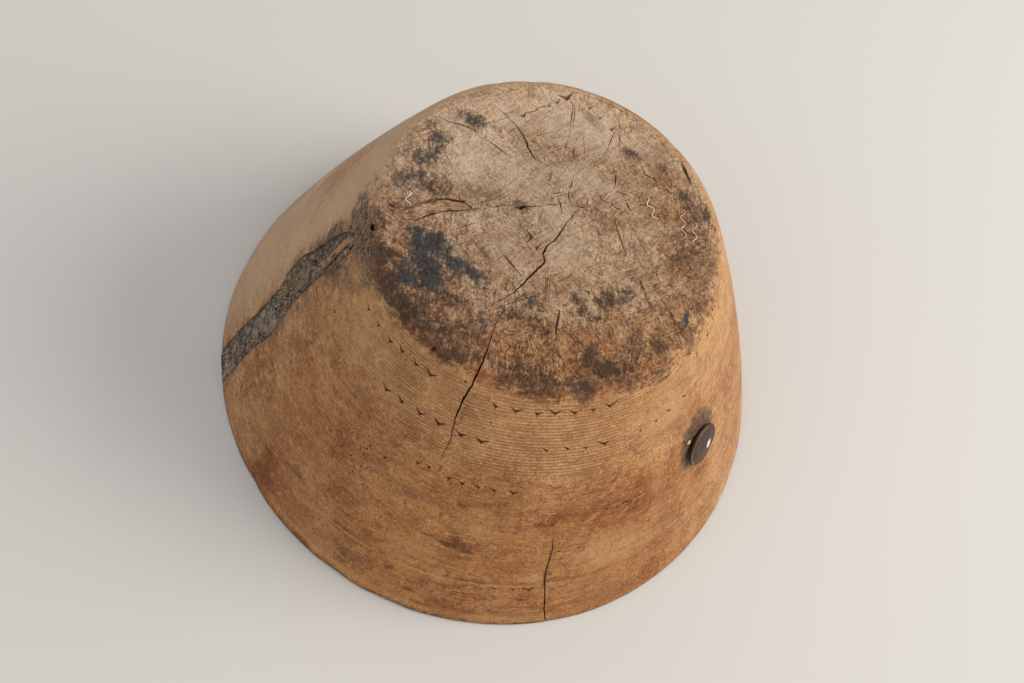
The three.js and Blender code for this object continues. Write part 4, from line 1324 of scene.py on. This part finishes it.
def foot_colour(g, n):
    """The foot: mealy end grain, scrubbed and scratched in every direction."""
    top = g.blend(g.rise(n.cloud, 0.36, 0.64), tone(222, 188, 152), tone(194, 154, 116))
    top = g.coats(top, [
        (n.mottle, 0.46, 0.68, 0.7, tone(130, 94, 66)),
        (n.blot, 0.5, 0.66, 0.6, tone(118, 84, 58)),
        (n.blot, 0.46, 0.32, 0.5, tone(234, 206, 172)),
    ])
    near_pith = g.rise(n.pith_away, 60.0, 14.0, 0.15, 0.85)
    top = g.blend(g.math("MULTIPLY", g.rise(n.fibre, 0.5, 0.68), near_pith), top, tone(90, 62, 42))
    shown = ((n.first, n.cloud, 0.4, 0.6), (n.second, n.mottle, 0.56, 0.44), (n.third, n.cloud, 0.55, 0.42))
    for stroke, where, low, high in shown:
        here = g.rise(where, low, high, 0.15, 0.75)
        top = g.blend(g.math("MULTIPLY", g.rise(stroke, 0.53, 0.68), here), top, tone(98, 68, 46))
        top = g.blend(g.math("MULTIPLY", g.rise(stroke, 0.42, 0.28), here), top, tone(236, 208, 176))
    for scratch in n.scratches:
        top = g.coats(top, [
            (scratch, 0.62, 0.68, 0.6, tone(84, 58, 40)),
            (scratch, 0.36, 0.31, 0.3, tone(236, 212, 182)),
        ])
    top = g.coats(top, [
        (n.fleck, 0.54, 0.68, 0.75, tone(86, 60, 42)),
        (n.speck, 0.55, 0.68, 0.75, tone(84, 56, 38)),
        (n.speck, 0.42, 0.3, 0.4, tone(240, 214, 182)),
    ])
    back_left = g.math("SUBTRACT", g.math("MULTIPLY", n.y, 0.8), g.math("MULTIPLY", n.x, 0.5))
    front_right = g.math("SUBTRACT", g.math("MULTIPLY", n.x, 0.6), g.math("MULTIPLY", n.y, 0.8))
    top = g.tint(g.rise(back_left, 40.0, 80.0), top, 1.22, 1.2, 1.18)
    top = g.tint(g.rise(front_right, 45.0, 80.0), top, 1.05, 0.97, 0.8)
    return g.tint(g.rise(n.x, -35.0, 10.0), top, 1.01, 0.96, 0.89)


def hollow_colour(g, n):
    """The inside, plain and brown."""
    hollow = g.blend(g.rise(n.vein, 0.3, 0.7), tone(138, 96, 62), tone(176, 128, 86))
    return g.coats(hollow, [
        (n.cloud, 0.4, 0.65, 0.6, tone(120, 80, 50)),
        (n.fleck, 0.55, 0.8, 0.5, tone(96, 64, 42)),
    ])


def stained_colour(g, n, foot, colour):
    """Wear, stains, dust and the darkening of the cuts, which is painted shade and dirt that deepen with the
    cut's depth, laid over the clean wood's colour.
    """
    end_grit = g.slide(0.45, g.slide(0.3, n.blot, n.speck), g.slide(0.6, n.third, n.patch))
    side_grit = g.slide(0.5, g.slide(0.5, n.patch, n.fleck), g.slide(0.5, n.blot, n.hair))
    grit = g.rise(g.slide(foot, side_grit, end_grit), 0.4, 0.6)
    upper = g.math("MAXIMUM", foot, g.rise(n.z, 166.0, 178.0))
    ground = g.math("MAXIMUM", g.field("dark"), g.math("MAXIMUM", g.field("brown"), g.field("blue")))
    colour = g.tint(g.math("MULTIPLY", ground, g.slide(foot, 0.25, 0.48)), colour, 0.6, 0.46, 0.34)

    worn_pale = g.math("MULTIPLY", g.stained("pale", grit), g.rise(n.first, 0.7, 0.4, 0.2, 0.55))
    colour = g.blend(worn_pale, colour, g.blend(foot, tone(240, 192, 136), tone(226, 200, 172)))
    brown = g.blend(upper, (0.74, 0.52, 0.27, 1.0), (0.7, 0.5, 0.33, 1.0))
    colour = g.blend(g.stained("brown", grit), colour, brown, "MULTIPLY")
    dark = g.blend(upper, tone(90, 52, 22), g.blend(n.speck, tone(38, 27, 17), tone(70, 50, 33)))
    colour = g.blend(g.math("MULTIPLY", g.stained("dark", grit), 0.88), colour, dark)

    weather = g.rise(g.slide(0.6, n.patch, n.speck), 0.45, 0.56)
    smoke = g.rise(g.slide(0.5, n.patch, n.speck), 0.4, 0.6)
    grey = g.blend(weather, tone(46, 33, 25), tone(150, 112, 80))
    blue = g.blend(smoke, tone(26, 27, 29), tone(72, 67, 62))
    blued = g.math("MULTIPLY", g.stained("blue", grit), 1.0, clamp=True)
    colour = g.blend(blued, colour, g.blend(foot, grey, blue))
    scorch = g.rise(g.slide(0.5, n.fleck, n.speck), 0.45, 0.6)
    halo = g.blend(scorch, tone(43, 29, 20), tone(146, 104, 72))
    colour = g.blend(g.math("MULTIPLY", g.stained("halo", grit), 0.92), colour, halo)

    colour = g.blend(g.rise(n.dust, 0.54, 0.74, 0.0, 0.7), colour, g.blend(0.5, colour, tone(50, 30, 20)))
    colour = g.tint(g.rise(n.dust, 0.44, 0.26, 0.0, 0.5), colour, 1.3, 1.28, 1.24)
    # painted shade, with dirt: every crack, chip, pit and scratch is painted darker the deeper it goes
    cut = g.field("cut")
    depth = g.blend(g.rise(cut, 0.4, 1.0), tone(92, 62, 42), tone(42, 28, 20))
    return g.blend(g.rise(cut, 0.02, 0.5, 0.0, 0.9), colour, depth)


def turned_wood_material():
    g = Graph("turned_wood_material")
    n = wood_noises(g)
    foot = g.field("foot")
    colour = g.blend(foot, wall_colour(g, n), foot_colour(g, n))
    colour = g.blend(g.field("inside"), colour, hollow_colour(g, n))
    colour = stained_colour(g, n, foot, colour)

    gloss = g.rise(n.cloud, 0.3, 0.7, 0.48, 0.62)
    roughness = g.slide(foot, gloss, g.rise(n.mottle, 0.3, 0.7, 0.58, 0.78))
    normal = g.bump(g.slide(foot, n.hair, n.fibre), 0.4)
    normal = g.bump(g.slide(foot, n.pore, n.first), 0.3, normal)
    normal = g.bump(g.slide(foot, n.patch, n.blot), 0.9, normal)
    for height, distance in ((n.mottle, 0.8), (n.fleck, 0.6), (n.speck, 0.3), (n.dust, 0.08)):
        normal = g.bump(height, distance, normal)
    return g.finish(colour, roughness, normal)


def filler_material():
    """The split's filling: hard, grainy, grey-brown, with a weathered splinter of wood in it, and painted
    shade in its pits and in the slit beside the splinter.
    """
    g = Graph("split_filler_material")
    x, y, z = g.split(g.place)
    drawn = g.join(x, y, g.math("MULTIPLY", z, 0.5))
    grain = g.noise(drawn, 1.1, 4.0, 0.75)
    lumps = g.noise(drawn, 2.6, 4.0, 0.7, 0.5)
    patches = g.noise(g.place, 9.0, 4.0, 0.6)
    crumbs = g.cells(g.place, 1.5)
    low = g.rise(z, 110.0, 60.0)
    shade = g.blend(low, tone(84, 63, 47), tone(84, 70, 59))
    light = g.blend(low, tone(150, 119, 92), tone(162, 141, 121))
    colour = g.coats(g.blend(g.rise(patches, 0.38, 0.62), shade, light), [
        (lumps, 0.5, 0.62, 0.9, tone(58, 43, 33)),
        (lumps, 0.46, 0.32, 0.7, tone(184, 164, 142)),
        (grain, 0.5, 0.68, 0.85, tone(196, 178, 156)),
        (grain, 0.48, 0.32, 0.85, tone(44, 32, 25)),
        (crumbs, 0.3, 0.1, 0.6, tone(50, 36, 28)),
    ])
    colour = g.blend(g.math("MULTIPLY", g.field("edge"), 0.55), colour, tone(58, 46, 38))
    colour = g.blend(g.field("splinter"), colour, g.blend(grain, tone(142, 98, 62), tone(214, 168, 120)))
    # painted shade: the pits and the slit beside the splinter are painted near black, as their shade and the
    # splinter's shadow
    colour = g.blend(g.field("pit"), colour, tone(28, 21, 17))
    normal = g.bump(grain, 0.6)
    normal = g.bump(lumps, 1.4, normal)
    normal = g.bump(crumbs, 0.4, normal)
    return g.finish(colour, g.rise(grain, 0.3, 0.7, 0.75, 0.92), normal, specular=0.2)


def sliver_material():
    g = Graph("sliver_wood_material")
    along = math.radians(32.0)
    fibre = g.vector("DOT_PRODUCT", g.place, (-math.sin(along), math.cos(along), 0.0))
    run = g.vector("DOT_PRODUCT", g.place, (math.cos(along), math.sin(along), 0.0))
    grain = g.noise(g.join(fibre, g.math("MULTIPLY", run, 0.06), 0.0), 0.9, 4.0, 0.65)
    patches = g.noise(g.place, 7.0, 3.0, 0.6)
    specks = g.noise(g.place, 1.6, 4.0, 0.7)
    colour = g.blend(g.rise(grain, 0.35, 0.65), tone(146, 108, 76), tone(208, 170, 132))
    colour = g.blend(g.rise(patches, 0.42, 0.62, 0.0, 0.8), colour, tone(104, 74, 52))
    colour = g.blend(g.rise(specks, 0.5, 0.66, 0.0, 0.8), colour, tone(76, 52, 36))
    normal = g.bump(grain, 0.3)
    return g.finish(colour, 0.7, normal, specular=0.3)


def strip_iron_material():
    """Thin strip iron: rubbed bare along the top edge and painted near white there as its painted sheen,
    rusty at the ends and down in the wood.
    """
    g = Graph("strip_iron_material")
    grain = g.noise(g.place, 0.7, 4.0, 0.6)
    patches = g.noise(g.place, 3.0, 3.0, 0.6)
    rust = g.blend(g.rise(grain, 0.35, 0.7), tone(150, 76, 38), tone(246, 150, 84))
    # painted sheen: a near-white, barely metallic colour stands in for the shine of the bare iron
    metal = g.blend(g.rise(patches, 0.4, 0.7), tone(236, 220, 200), tone(255, 250, 240))
    bright = g.math("MULTIPLY", g.field("worn"), g.rise(patches, 0.3, 0.5, 0.7, 1.0), clamp=True)
    colour = g.blend(bright, rust, metal)
    metallic = g.math("MULTIPLY", bright, 0.1)
    return g.finish(colour, g.slide(bright, 0.75, 0.42), g.bump(grain, 0.12), metallic)


def rivet_iron_material():
    """Brown-black forged iron, painted near white where the worn field is high: on the rivet's head that is a
    painted highlight on the crown and along part of the lip, over iron that is rubbed there.
    """
    g = Graph("rivet_iron_material")
    grain = g.noise(g.place, 0.8, 5.0, 0.65)
    patches = g.noise(g.place, 4.5, 4.0, 0.6, 0.5)
    dark = g.blend(g.rise(patches, 0.35, 0.65), tone(62, 41, 30), tone(84, 58, 43))
    rust = g.blend(g.rise(grain, 0.5, 0.75, 0.0, 0.6), dark, tone(120, 80, 54))
    # painted highlight: the worn field, near white and glossier, stands in for the glint on the rivet's head
    # as well as its rubbed iron
    bright = g.field("worn")
    colour = g.blend(bright, rust, tone(232, 222, 206))
    normal = g.bump(grain, 0.1)
    normal = g.bump(patches, 0.15, normal)
    return g.finish(colour, g.slide(bright, 0.5, 0.3), normal, metallic=0.1, specular=0.25)


# ======== the pieces let into the bowl ========
# Pits in the filler: azimuth, height, half width, half height and depth in millimetres.
FILLER_PITS = [
    (205.3, 98, 1.9, 2.6, 3.0), (204.0, 111.5, 1.2, 1.5, 1.6), (208.0, 113.5, 1.3, 1.6, 1.8),
    (203.2, 131, 1.2, 1.8, 1.6), (206.2, 151, 0.8, 3.6, 1.8), (203.4, 163, 1.2, 1.4, 1.5),
    (208.2, 166.5, 1.0, 1.6, 1.8), (206.5, 144, 1.2, 1.2, 1.4), (206.5, 83, 1.6, 1.6, 1.8),
    (206.7, 32, 1.8, 1.4, 1.6), (208.0, 3, 1.8, 1.6, 1.8), (206.5, 26, 1.4, 1.2, 1.2),
    (204.6, 70, 1.3, 1.8, 1.2), (209.0, 60, 1.5, 1.0, 1.2), (205.0, 50, 1.4, 1.6, 1.3),
    (208.2, 44, 1.2, 1.4, 1.2), (205.2, 14, 1.8, 1.6, 1.4), (207.2, 92, 1.2, 1.2, 1.3),
    (202.6, 120, 1.0, 1.6, 1.2), (206.2, 124, 1.2, 1.2, 1.3),
]
SPLINTER_LOW, SPLINTER_HIGH = 141.0, 168.0


def side_filler(material):
    marks = {"pit": None, "splinter": None, "edge": None}

    def outer(azimuth, height):
        r = wall_radius(height)
        points = around(r, azimuth, height).reshape(-1, 3)
        degrees = np.degrees(azimuth).ravel() % 360.0
        z = height.ravel()
        across = r.ravel() * math.pi / 180.0
        left, right = strip_edges(z)
        rough = layered_noise(points, 5.0, 401, 3) - 0.5
        crumbs = layered_noise(points, 1.4, 402, 2) - 0.5
        out = -0.35 + 1.1 * rough + 0.7 * crumbs
        centre = mix(206.6, 205.0, (z - SPLINTER_LOW) / (SPLINTER_HIGH - SPLINTER_LOW))
        inside = smooth(SPLINTER_LOW - 2.0, SPLINTER_LOW + 5.0, z)
        inside *= smooth(SPLINTER_HIGH + 1.0, SPLINTER_HIGH - 6.0, z)
        splinter = inside * smooth(1.5, 0.7, np.abs(degrees - centre) * across / 1.8)
        slit = inside * smooth(0.9, 0.3, np.abs((degrees - centre) * across - 2.9))
        pits = np.zeros(len(z))
        for at, at_z, half_width, half_height, depth in FILLER_PITS:
            away = np.hypot((degrees - at) * across / half_width, (z - at_z) / half_height)
            pits = np.maximum(pits, depth * smooth(1.35, 0.4, away + 0.8 * crumbs))
        edge = np.minimum(degrees - left, right - degrees) * across
        out = mix(out, 0.4 + 0.3 * crumbs, splinter) - pits - 1.8 * slit - 0.3 * smooth(1.6, 0.0, edge)
        # painted shade: the pit mark grows with the depth of the pits and of the slit beside the splinter
        marks["pit"] = np.clip(np.maximum(smooth(0.3, 1.5, pits), slit) + smooth(-0.9, -1.8, out), 0.0, 1.0)
        marks["splinter"] = splinter
        marks["edge"] = smooth(3.2, 0.4, edge + 3.0 * rough)
        return np.minimum(out, 0.6).reshape(height.shape)

    points, faces = strip_solid(0.8, STRIP_TOP, outer, at_depth(STRIP_DEPTH), 0.0)
    piece = make_object("side_filler", points, faces, material)
    rest = len(points) - len(marks["pit"])
    for name, values in marks.items():
        set_field(piece, name, np.concatenate([values, np.zeros(rest)]))
    smooth_shading(piece, 50.0)
    return piece


def foot_sliver(material):
    """The long splinter of wood pushed into the widest crack of the foot, its fibres standing in ridges."""
    rows, across = 90, 12
    low, high = sliver_edges(-0.35, rows)
    share = np.linspace(0.0, 1.0, across)[None, :, None]
    flat = low[:, None, :] + (high - low)[:, None, :] * share
    column = np.broadcast_to(np.arange(across), (rows, across)).ravel()
    row = np.repeat(np.arange(rows), across)
    place = np.column_stack([column * 1.3, row * 0.08, np.zeros(rows * across)])
    ridges = layered_noise(place, 1.0, 411, 2) - 0.5
    chips = layered_noise(np.column_stack([flat.reshape(-1, 2), np.zeros(rows * across)]), 6.0, 412, 2) - 0.5
    top = HEIGHT - 0.75 + 1.3 * ridges + 1.0 * chips
    top = np.minimum(top, HEIGHT - SUNK).reshape(rows, across, 1)
    bottom = np.full((rows, across, 1), HEIGHT - SLIVER_DEPTH)
    points, faces = slab(np.concatenate([flat, top], axis=2), np.concatenate([flat, bottom], axis=2))
    piece = make_object("foot_sliver", points, faces, material)
    smooth_shading(piece, 40.0)
    return piece


def wavy_fastener(index, x, y, heading, length, material):
    """A strip of corrugated iron driven in on edge; only its rubbed top edge shows."""
    low, high = corrugated_outline(x, y, heading, length, per_wave=28)
    count = len(low)
    place = np.column_stack([low, np.full(count, 10.0 * index)])
    top = HEIGHT - 0.3 + 0.5 * (layered_noise(place, 2.0, 421, 2) - 0.5)
    top = np.minimum(top, HEIGHT - SUNK)
    crown = [(0.0, -0.35), (0.2, -0.08), (0.5, 0.0), (0.8, -0.08), (1.0, -0.35)]
    columns = []
    for share, drop in [(0.0, -FASTENER_DEPTH)] + crown + [(1.0, -FASTENER_DEPTH)]:
        edge = mix(low, high, share)
        columns.append(np.column_stack([edge, top + drop]))
    section = np.stack(columns, axis=1)
    points, faces = lofted(section)
    piece = make_object(f"wavy_fastener_{index}", points, faces, material)
    depth = HEIGHT - np.asarray(points)[:, 2]
    along = np.linalg.norm(np.asarray(points)[:, :2] - low[0], axis=1) / length
    middle = smooth(0.0, 0.22, along) * smooth(1.0, 0.75, along)
    # the rubbed top edge, brightest in the middle: bare iron with a painted sheen
    set_field(piece, "worn", FASTENER_SHINE[index - 1] * smooth(1.4, 0.5, depth) * mix(0.25, 1.0, middle))
    smooth_shading(piece, 40.0)
    return piece


def rivet_outline():
    """Radius and local height rows of the rivet, from the crown of its head to the peened end."""
    head_radius, rim, dome, edge, standoff = 14.0, 1.4, 1.8, 0.5, RIVET_STANDOFF
    shank, peen_radius, peen_height = 4.0, 7.0, 3.2
    rim_top = standoff + rim
    peen_top = SEAT - ROVE_GAP - ROVE_THICKNESS - ROVE_GAP
    top = rim_top + dome
    crown = bend((0.01, top), (head_radius * 0.5, top), (head_radius - 1.9, rim_top + 0.3), 14)
    raised = [(head_radius - back, rim_top + up) for back, up in ((1.5, 0.12), (1.1, 0.4), (0.7, 0.42))]
    lip_start, lip_corner = (head_radius - edge, rim_top + 0.3), (head_radius, rim_top + 0.1)
    lip = bend(lip_start, lip_corner, (head_radius, rim_top - edge), 4)
    under = bend((head_radius, standoff + edge), (head_radius, standoff), (head_radius - edge, standoff), 4)
    neck = [(shank + 1.0, standoff), (shank, standoff - 0.6), (shank, peen_top + 0.3), (shank, peen_top)]
    peen_low = peen_top - peen_height
    peen = bend((peen_radius, peen_top), (peen_radius, peen_low), (0.01, peen_low), 10)
    return np.vstack([crown, raised, lip, under, neck, peen])


def hammered(points, amount, cell, seed):
    """Small knocks and flats on forged iron, pushed along the line from the piece's middle."""
    centre = points.mean(axis=0)
    away = points - centre
    away /= np.maximum(np.linalg.norm(away, axis=1), 1e-6)[:, None]
    knocks = layered_noise(points + seed * 11.0, cell, seed, 2) - 0.5
    return points + away * (amount * knocks)[:, None]


def rivet(material):
    rows = rivet_outline()
    points, faces = turned_solid([(0.0, rows[0][1])] + list(rows) + [(0.0, rows[-1][1])], 72)
    head = points[:, 2] > RIVET_STANDOFF - 0.01
    points[head] = hammered(points[head], 0.4, 7.0, 431)
    points[head] = hammered(points[head], 0.12, 2.0, 432)
    radius = np.hypot(points[:, 0], points[:, 1])
    # the ring of the lip, which gets a pale painted highlight on part of its round
    lip = smooth(12.5, 12.9, radius) * smooth(13.6, 13.3, radius) * (points[:, 2] > RIVET_STANDOFF + 0.8)
    placed = wall_frame(RIVET_AZIMUTH, RIVET_HEIGHT)(points)

    # the head is bent over, so it leans round the wall and stands clear of it on one side
    centre, normal = on_wall(RIVET_AZIMUTH, RIVET_HEIGHT)
    uphill = UP - normal * normal[2]
    uphill /= np.linalg.norm(uphill)
    onward = np.cross(uphill, normal)
    lean = np.array(Matrix.Rotation(math.radians(RIVET_TILT), 3, Vector(uphill)))
    pivot = centre + normal * RIVET_STANDOFF
    across, along = (placed - pivot) @ onward, (placed - pivot) @ uphill
    placed[head] = (placed[head] - pivot) @ lean.T + pivot
    piece = make_object("iron_rivet", placed, faces, material)
    # painted highlight: a near-white glint on the crown, beside and below its middle, where the iron is also
    # rubbed, and a pale painted highlight along part of the lip
    rubbed_glint = smooth(1.25, 0.75, np.hypot((across - 4.0) / 2.3, (along + 2.6) / 3.6))
    rubbed_glint = rubbed_glint * head * (points[:, 2] > 2.0)
    lip_highlight_side = smooth(1.0, 9.0, along - across)
    set_field(piece, "worn", np.clip(rubbed_glint + 0.22 * lip * lip_highlight_side, 0.0, 1.0))
    smooth_shading(piece, 45.0)
    return piece


def rivet_rove(material):
    """The square-edged ring that the rivet is peened over inside the bowl."""
    top = SEAT - ROVE_GAP
    low = top - ROVE_THICKNESS
    hole, rim = SHANK_HOLE, ROVE_RADIUS
    ring = resampled([(hole, top), (rim, top), (rim, low), (hole, low), (hole, top)], 41)[:-1]
    steps = 64
    points = turned_points(ring, steps)
    count = len(ring)
    faces = [tuple(corner % (count * steps) for corner in face) for face in ring_faces(count + 1, steps)]
    points[:, :2] *= 1.0 + 0.02 * (layered_noise(points, 5.0, 441, 2) - 0.5)[:, None]
    piece = make_object("iron_rove", wall_frame(RIVET_AZIMUTH, RIVET_HEIGHT)(points), faces, material)
    set_field(piece, "worn", np.full(len(points), 0.15))
    smooth_shading(piece, 35.0)
    return piece


def nail(material):
    """A small cut nail beside the rivet, its pale head a little proud of the wood."""
    head = bend((0.01, 1.1), (1.5, 1.1), (1.7, 0.6), 6)
    shank = [(1.65, 0.35), (1.2, 0.3), (0.9, 0.1), (0.9, -7.5), (0.35, -8.7), (0.0, -9.0)]
    rows = [(0.0, 1.1)] + list(head) + shank
    points, faces = turned_solid(rows, 28)
    points = hammered(points, 0.12, 0.9, 451)
    piece = make_object("small_iron_nail", wall_frame(NAIL_AZIMUTH, NAIL_HEIGHT)(points), faces, material)
    set_field(piece, "worn", 0.5 * smooth(0.2, 0.9, points[:, 2]))
    smooth_shading(piece, 40.0)
    return piece


# ======== the set: camera, floor and light ========
CAMERA_AIM = (6.4, -26.4, HEIGHT / 2.0)
CAMERA_DISTANCE = 874.8
CAMERA_HEADING = 89.1
CAMERA_DIP = 61.9
CAMERA_ROLL = 24.8
LENS, SENSOR = 50.0, 36.0
FLOOR_HALF = 3000.0
ROOM_COLOUR, ROOM_STRENGTH = (0.93, 0.96, 1.0, 1.0), 0.52


def make_camera():
    heading, dip, roll = (math.radians(a) for a in (CAMERA_HEADING, CAMERA_DIP, CAMERA_ROLL))
    forward = Vector((math.cos(heading) * math.cos(dip), math.sin(heading) * math.cos(dip), -math.sin(dip)))
    level = forward.cross(Vector((0.0, 0.0, 1.0))).normalized()
    upright = level.cross(forward)
    right = level * math.cos(roll) + upright * math.sin(roll)
    up = upright * math.cos(roll) - level * math.sin(roll)
    lens = bpy.data.cameras.new("camera")
    lens.lens = LENS
    lens.sensor_width = SENSOR
    camera = add_object("camera", lens)
    camera.matrix_world = Matrix((right, up, -forward)).transposed().to_4x4()
    camera.location = (Vector(CAMERA_AIM) - forward * CAMERA_DISTANCE) * MM
    bpy.context.scene.camera = camera


def make_floor():
    g = Graph("floor_material")
    g.shader.inputs["Base Color"].default_value = tone(222, 217, 209)
    g.shader.inputs["Roughness"].default_value = 0.8
    half = FLOOR_HALF * MM
    floor = bpy.data.meshes.new("floor")
    floor.from_pydata([(-half, -half, 0.0), (half, -half, 0.0), (half, half, 0.0), (-half, half, 0.0)], [],
                      [(0, 1, 2, 3)])
    floor.materials.append(g.material)
    made = add_object("floor", floor)


def area_light(name, direction, distance, size, power, colour):
    """A square soft light at a distance in metres along a direction from the bowl, turned to face it."""
    lamp = bpy.data.lights.new(name, "AREA")
    lamp.shape = "SQUARE"
    lamp.size = size
    lamp.energy = power
    lamp.color = colour
    light = add_object(name, lamp)
    away = Vector(direction).normalized()
    light.location = away * distance + Vector((0.0, 0.0, HEIGHT / 2.0 * MM))
    light.rotation_mode = "QUATERNION"
    light.rotation_quaternion = away.to_track_quat("Z", "Y")


def make_light():
    area_light("key", (0.8, 0.25, 0.62), 2.4, 1.6, 42.0, (1.0, 0.97, 0.93))
    area_light("fill", (-0.5, -0.8, 0.9), 2.6, 2.2, 10.0, (0.95, 0.97, 1.0))
    world = bpy.data.worlds.new("soft_room")
    world.use_nodes = True
    background = world.node_tree.nodes["Background"]
    background.inputs["Color"].default_value = ROOM_COLOUR
    background.inputs["Strength"].default_value = ROOM_STRENGTH
    bpy.context.scene.world = world
    bpy.context.scene.view_settings.view_transform = "Standard"


# ======== putting it together ========
def place(piece, slot, node):
    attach(piece, "root")
    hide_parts(node)


def make_bowl():
    strip_iron = strip_iron_material()
    rivet_iron = rivet_iron_material()
    body = turned_body()
    cut_body(body)
    paint_body(body)
    body.data.materials.clear()
    body.data.materials.append(turned_wood_material())
    smooth_shading(body, 38.0)
    place(body, "turned_wood", "bowl_body")
    place(side_filler(filler_material()), "split_filler", "side_seam_filler")
    place(foot_sliver(sliver_material()), "sliver_wood", "foot_crack_filler")
    for i, (x, y, heading, length) in enumerate(FASTENERS, start=1):
        place(wavy_fastener(i, x, y, heading, length, strip_iron), "strip_iron", f"corrugated_fastener_{i}")
    place(rivet(rivet_iron), "rivet_iron", "rivet")
    place(rivet_rove(rivet_iron), "rivet_iron", "inner_washer")
    place(nail(strip_iron), "strip_iron", "small_nail")


make_camera()
make_floor()
make_light()
make_bowl()
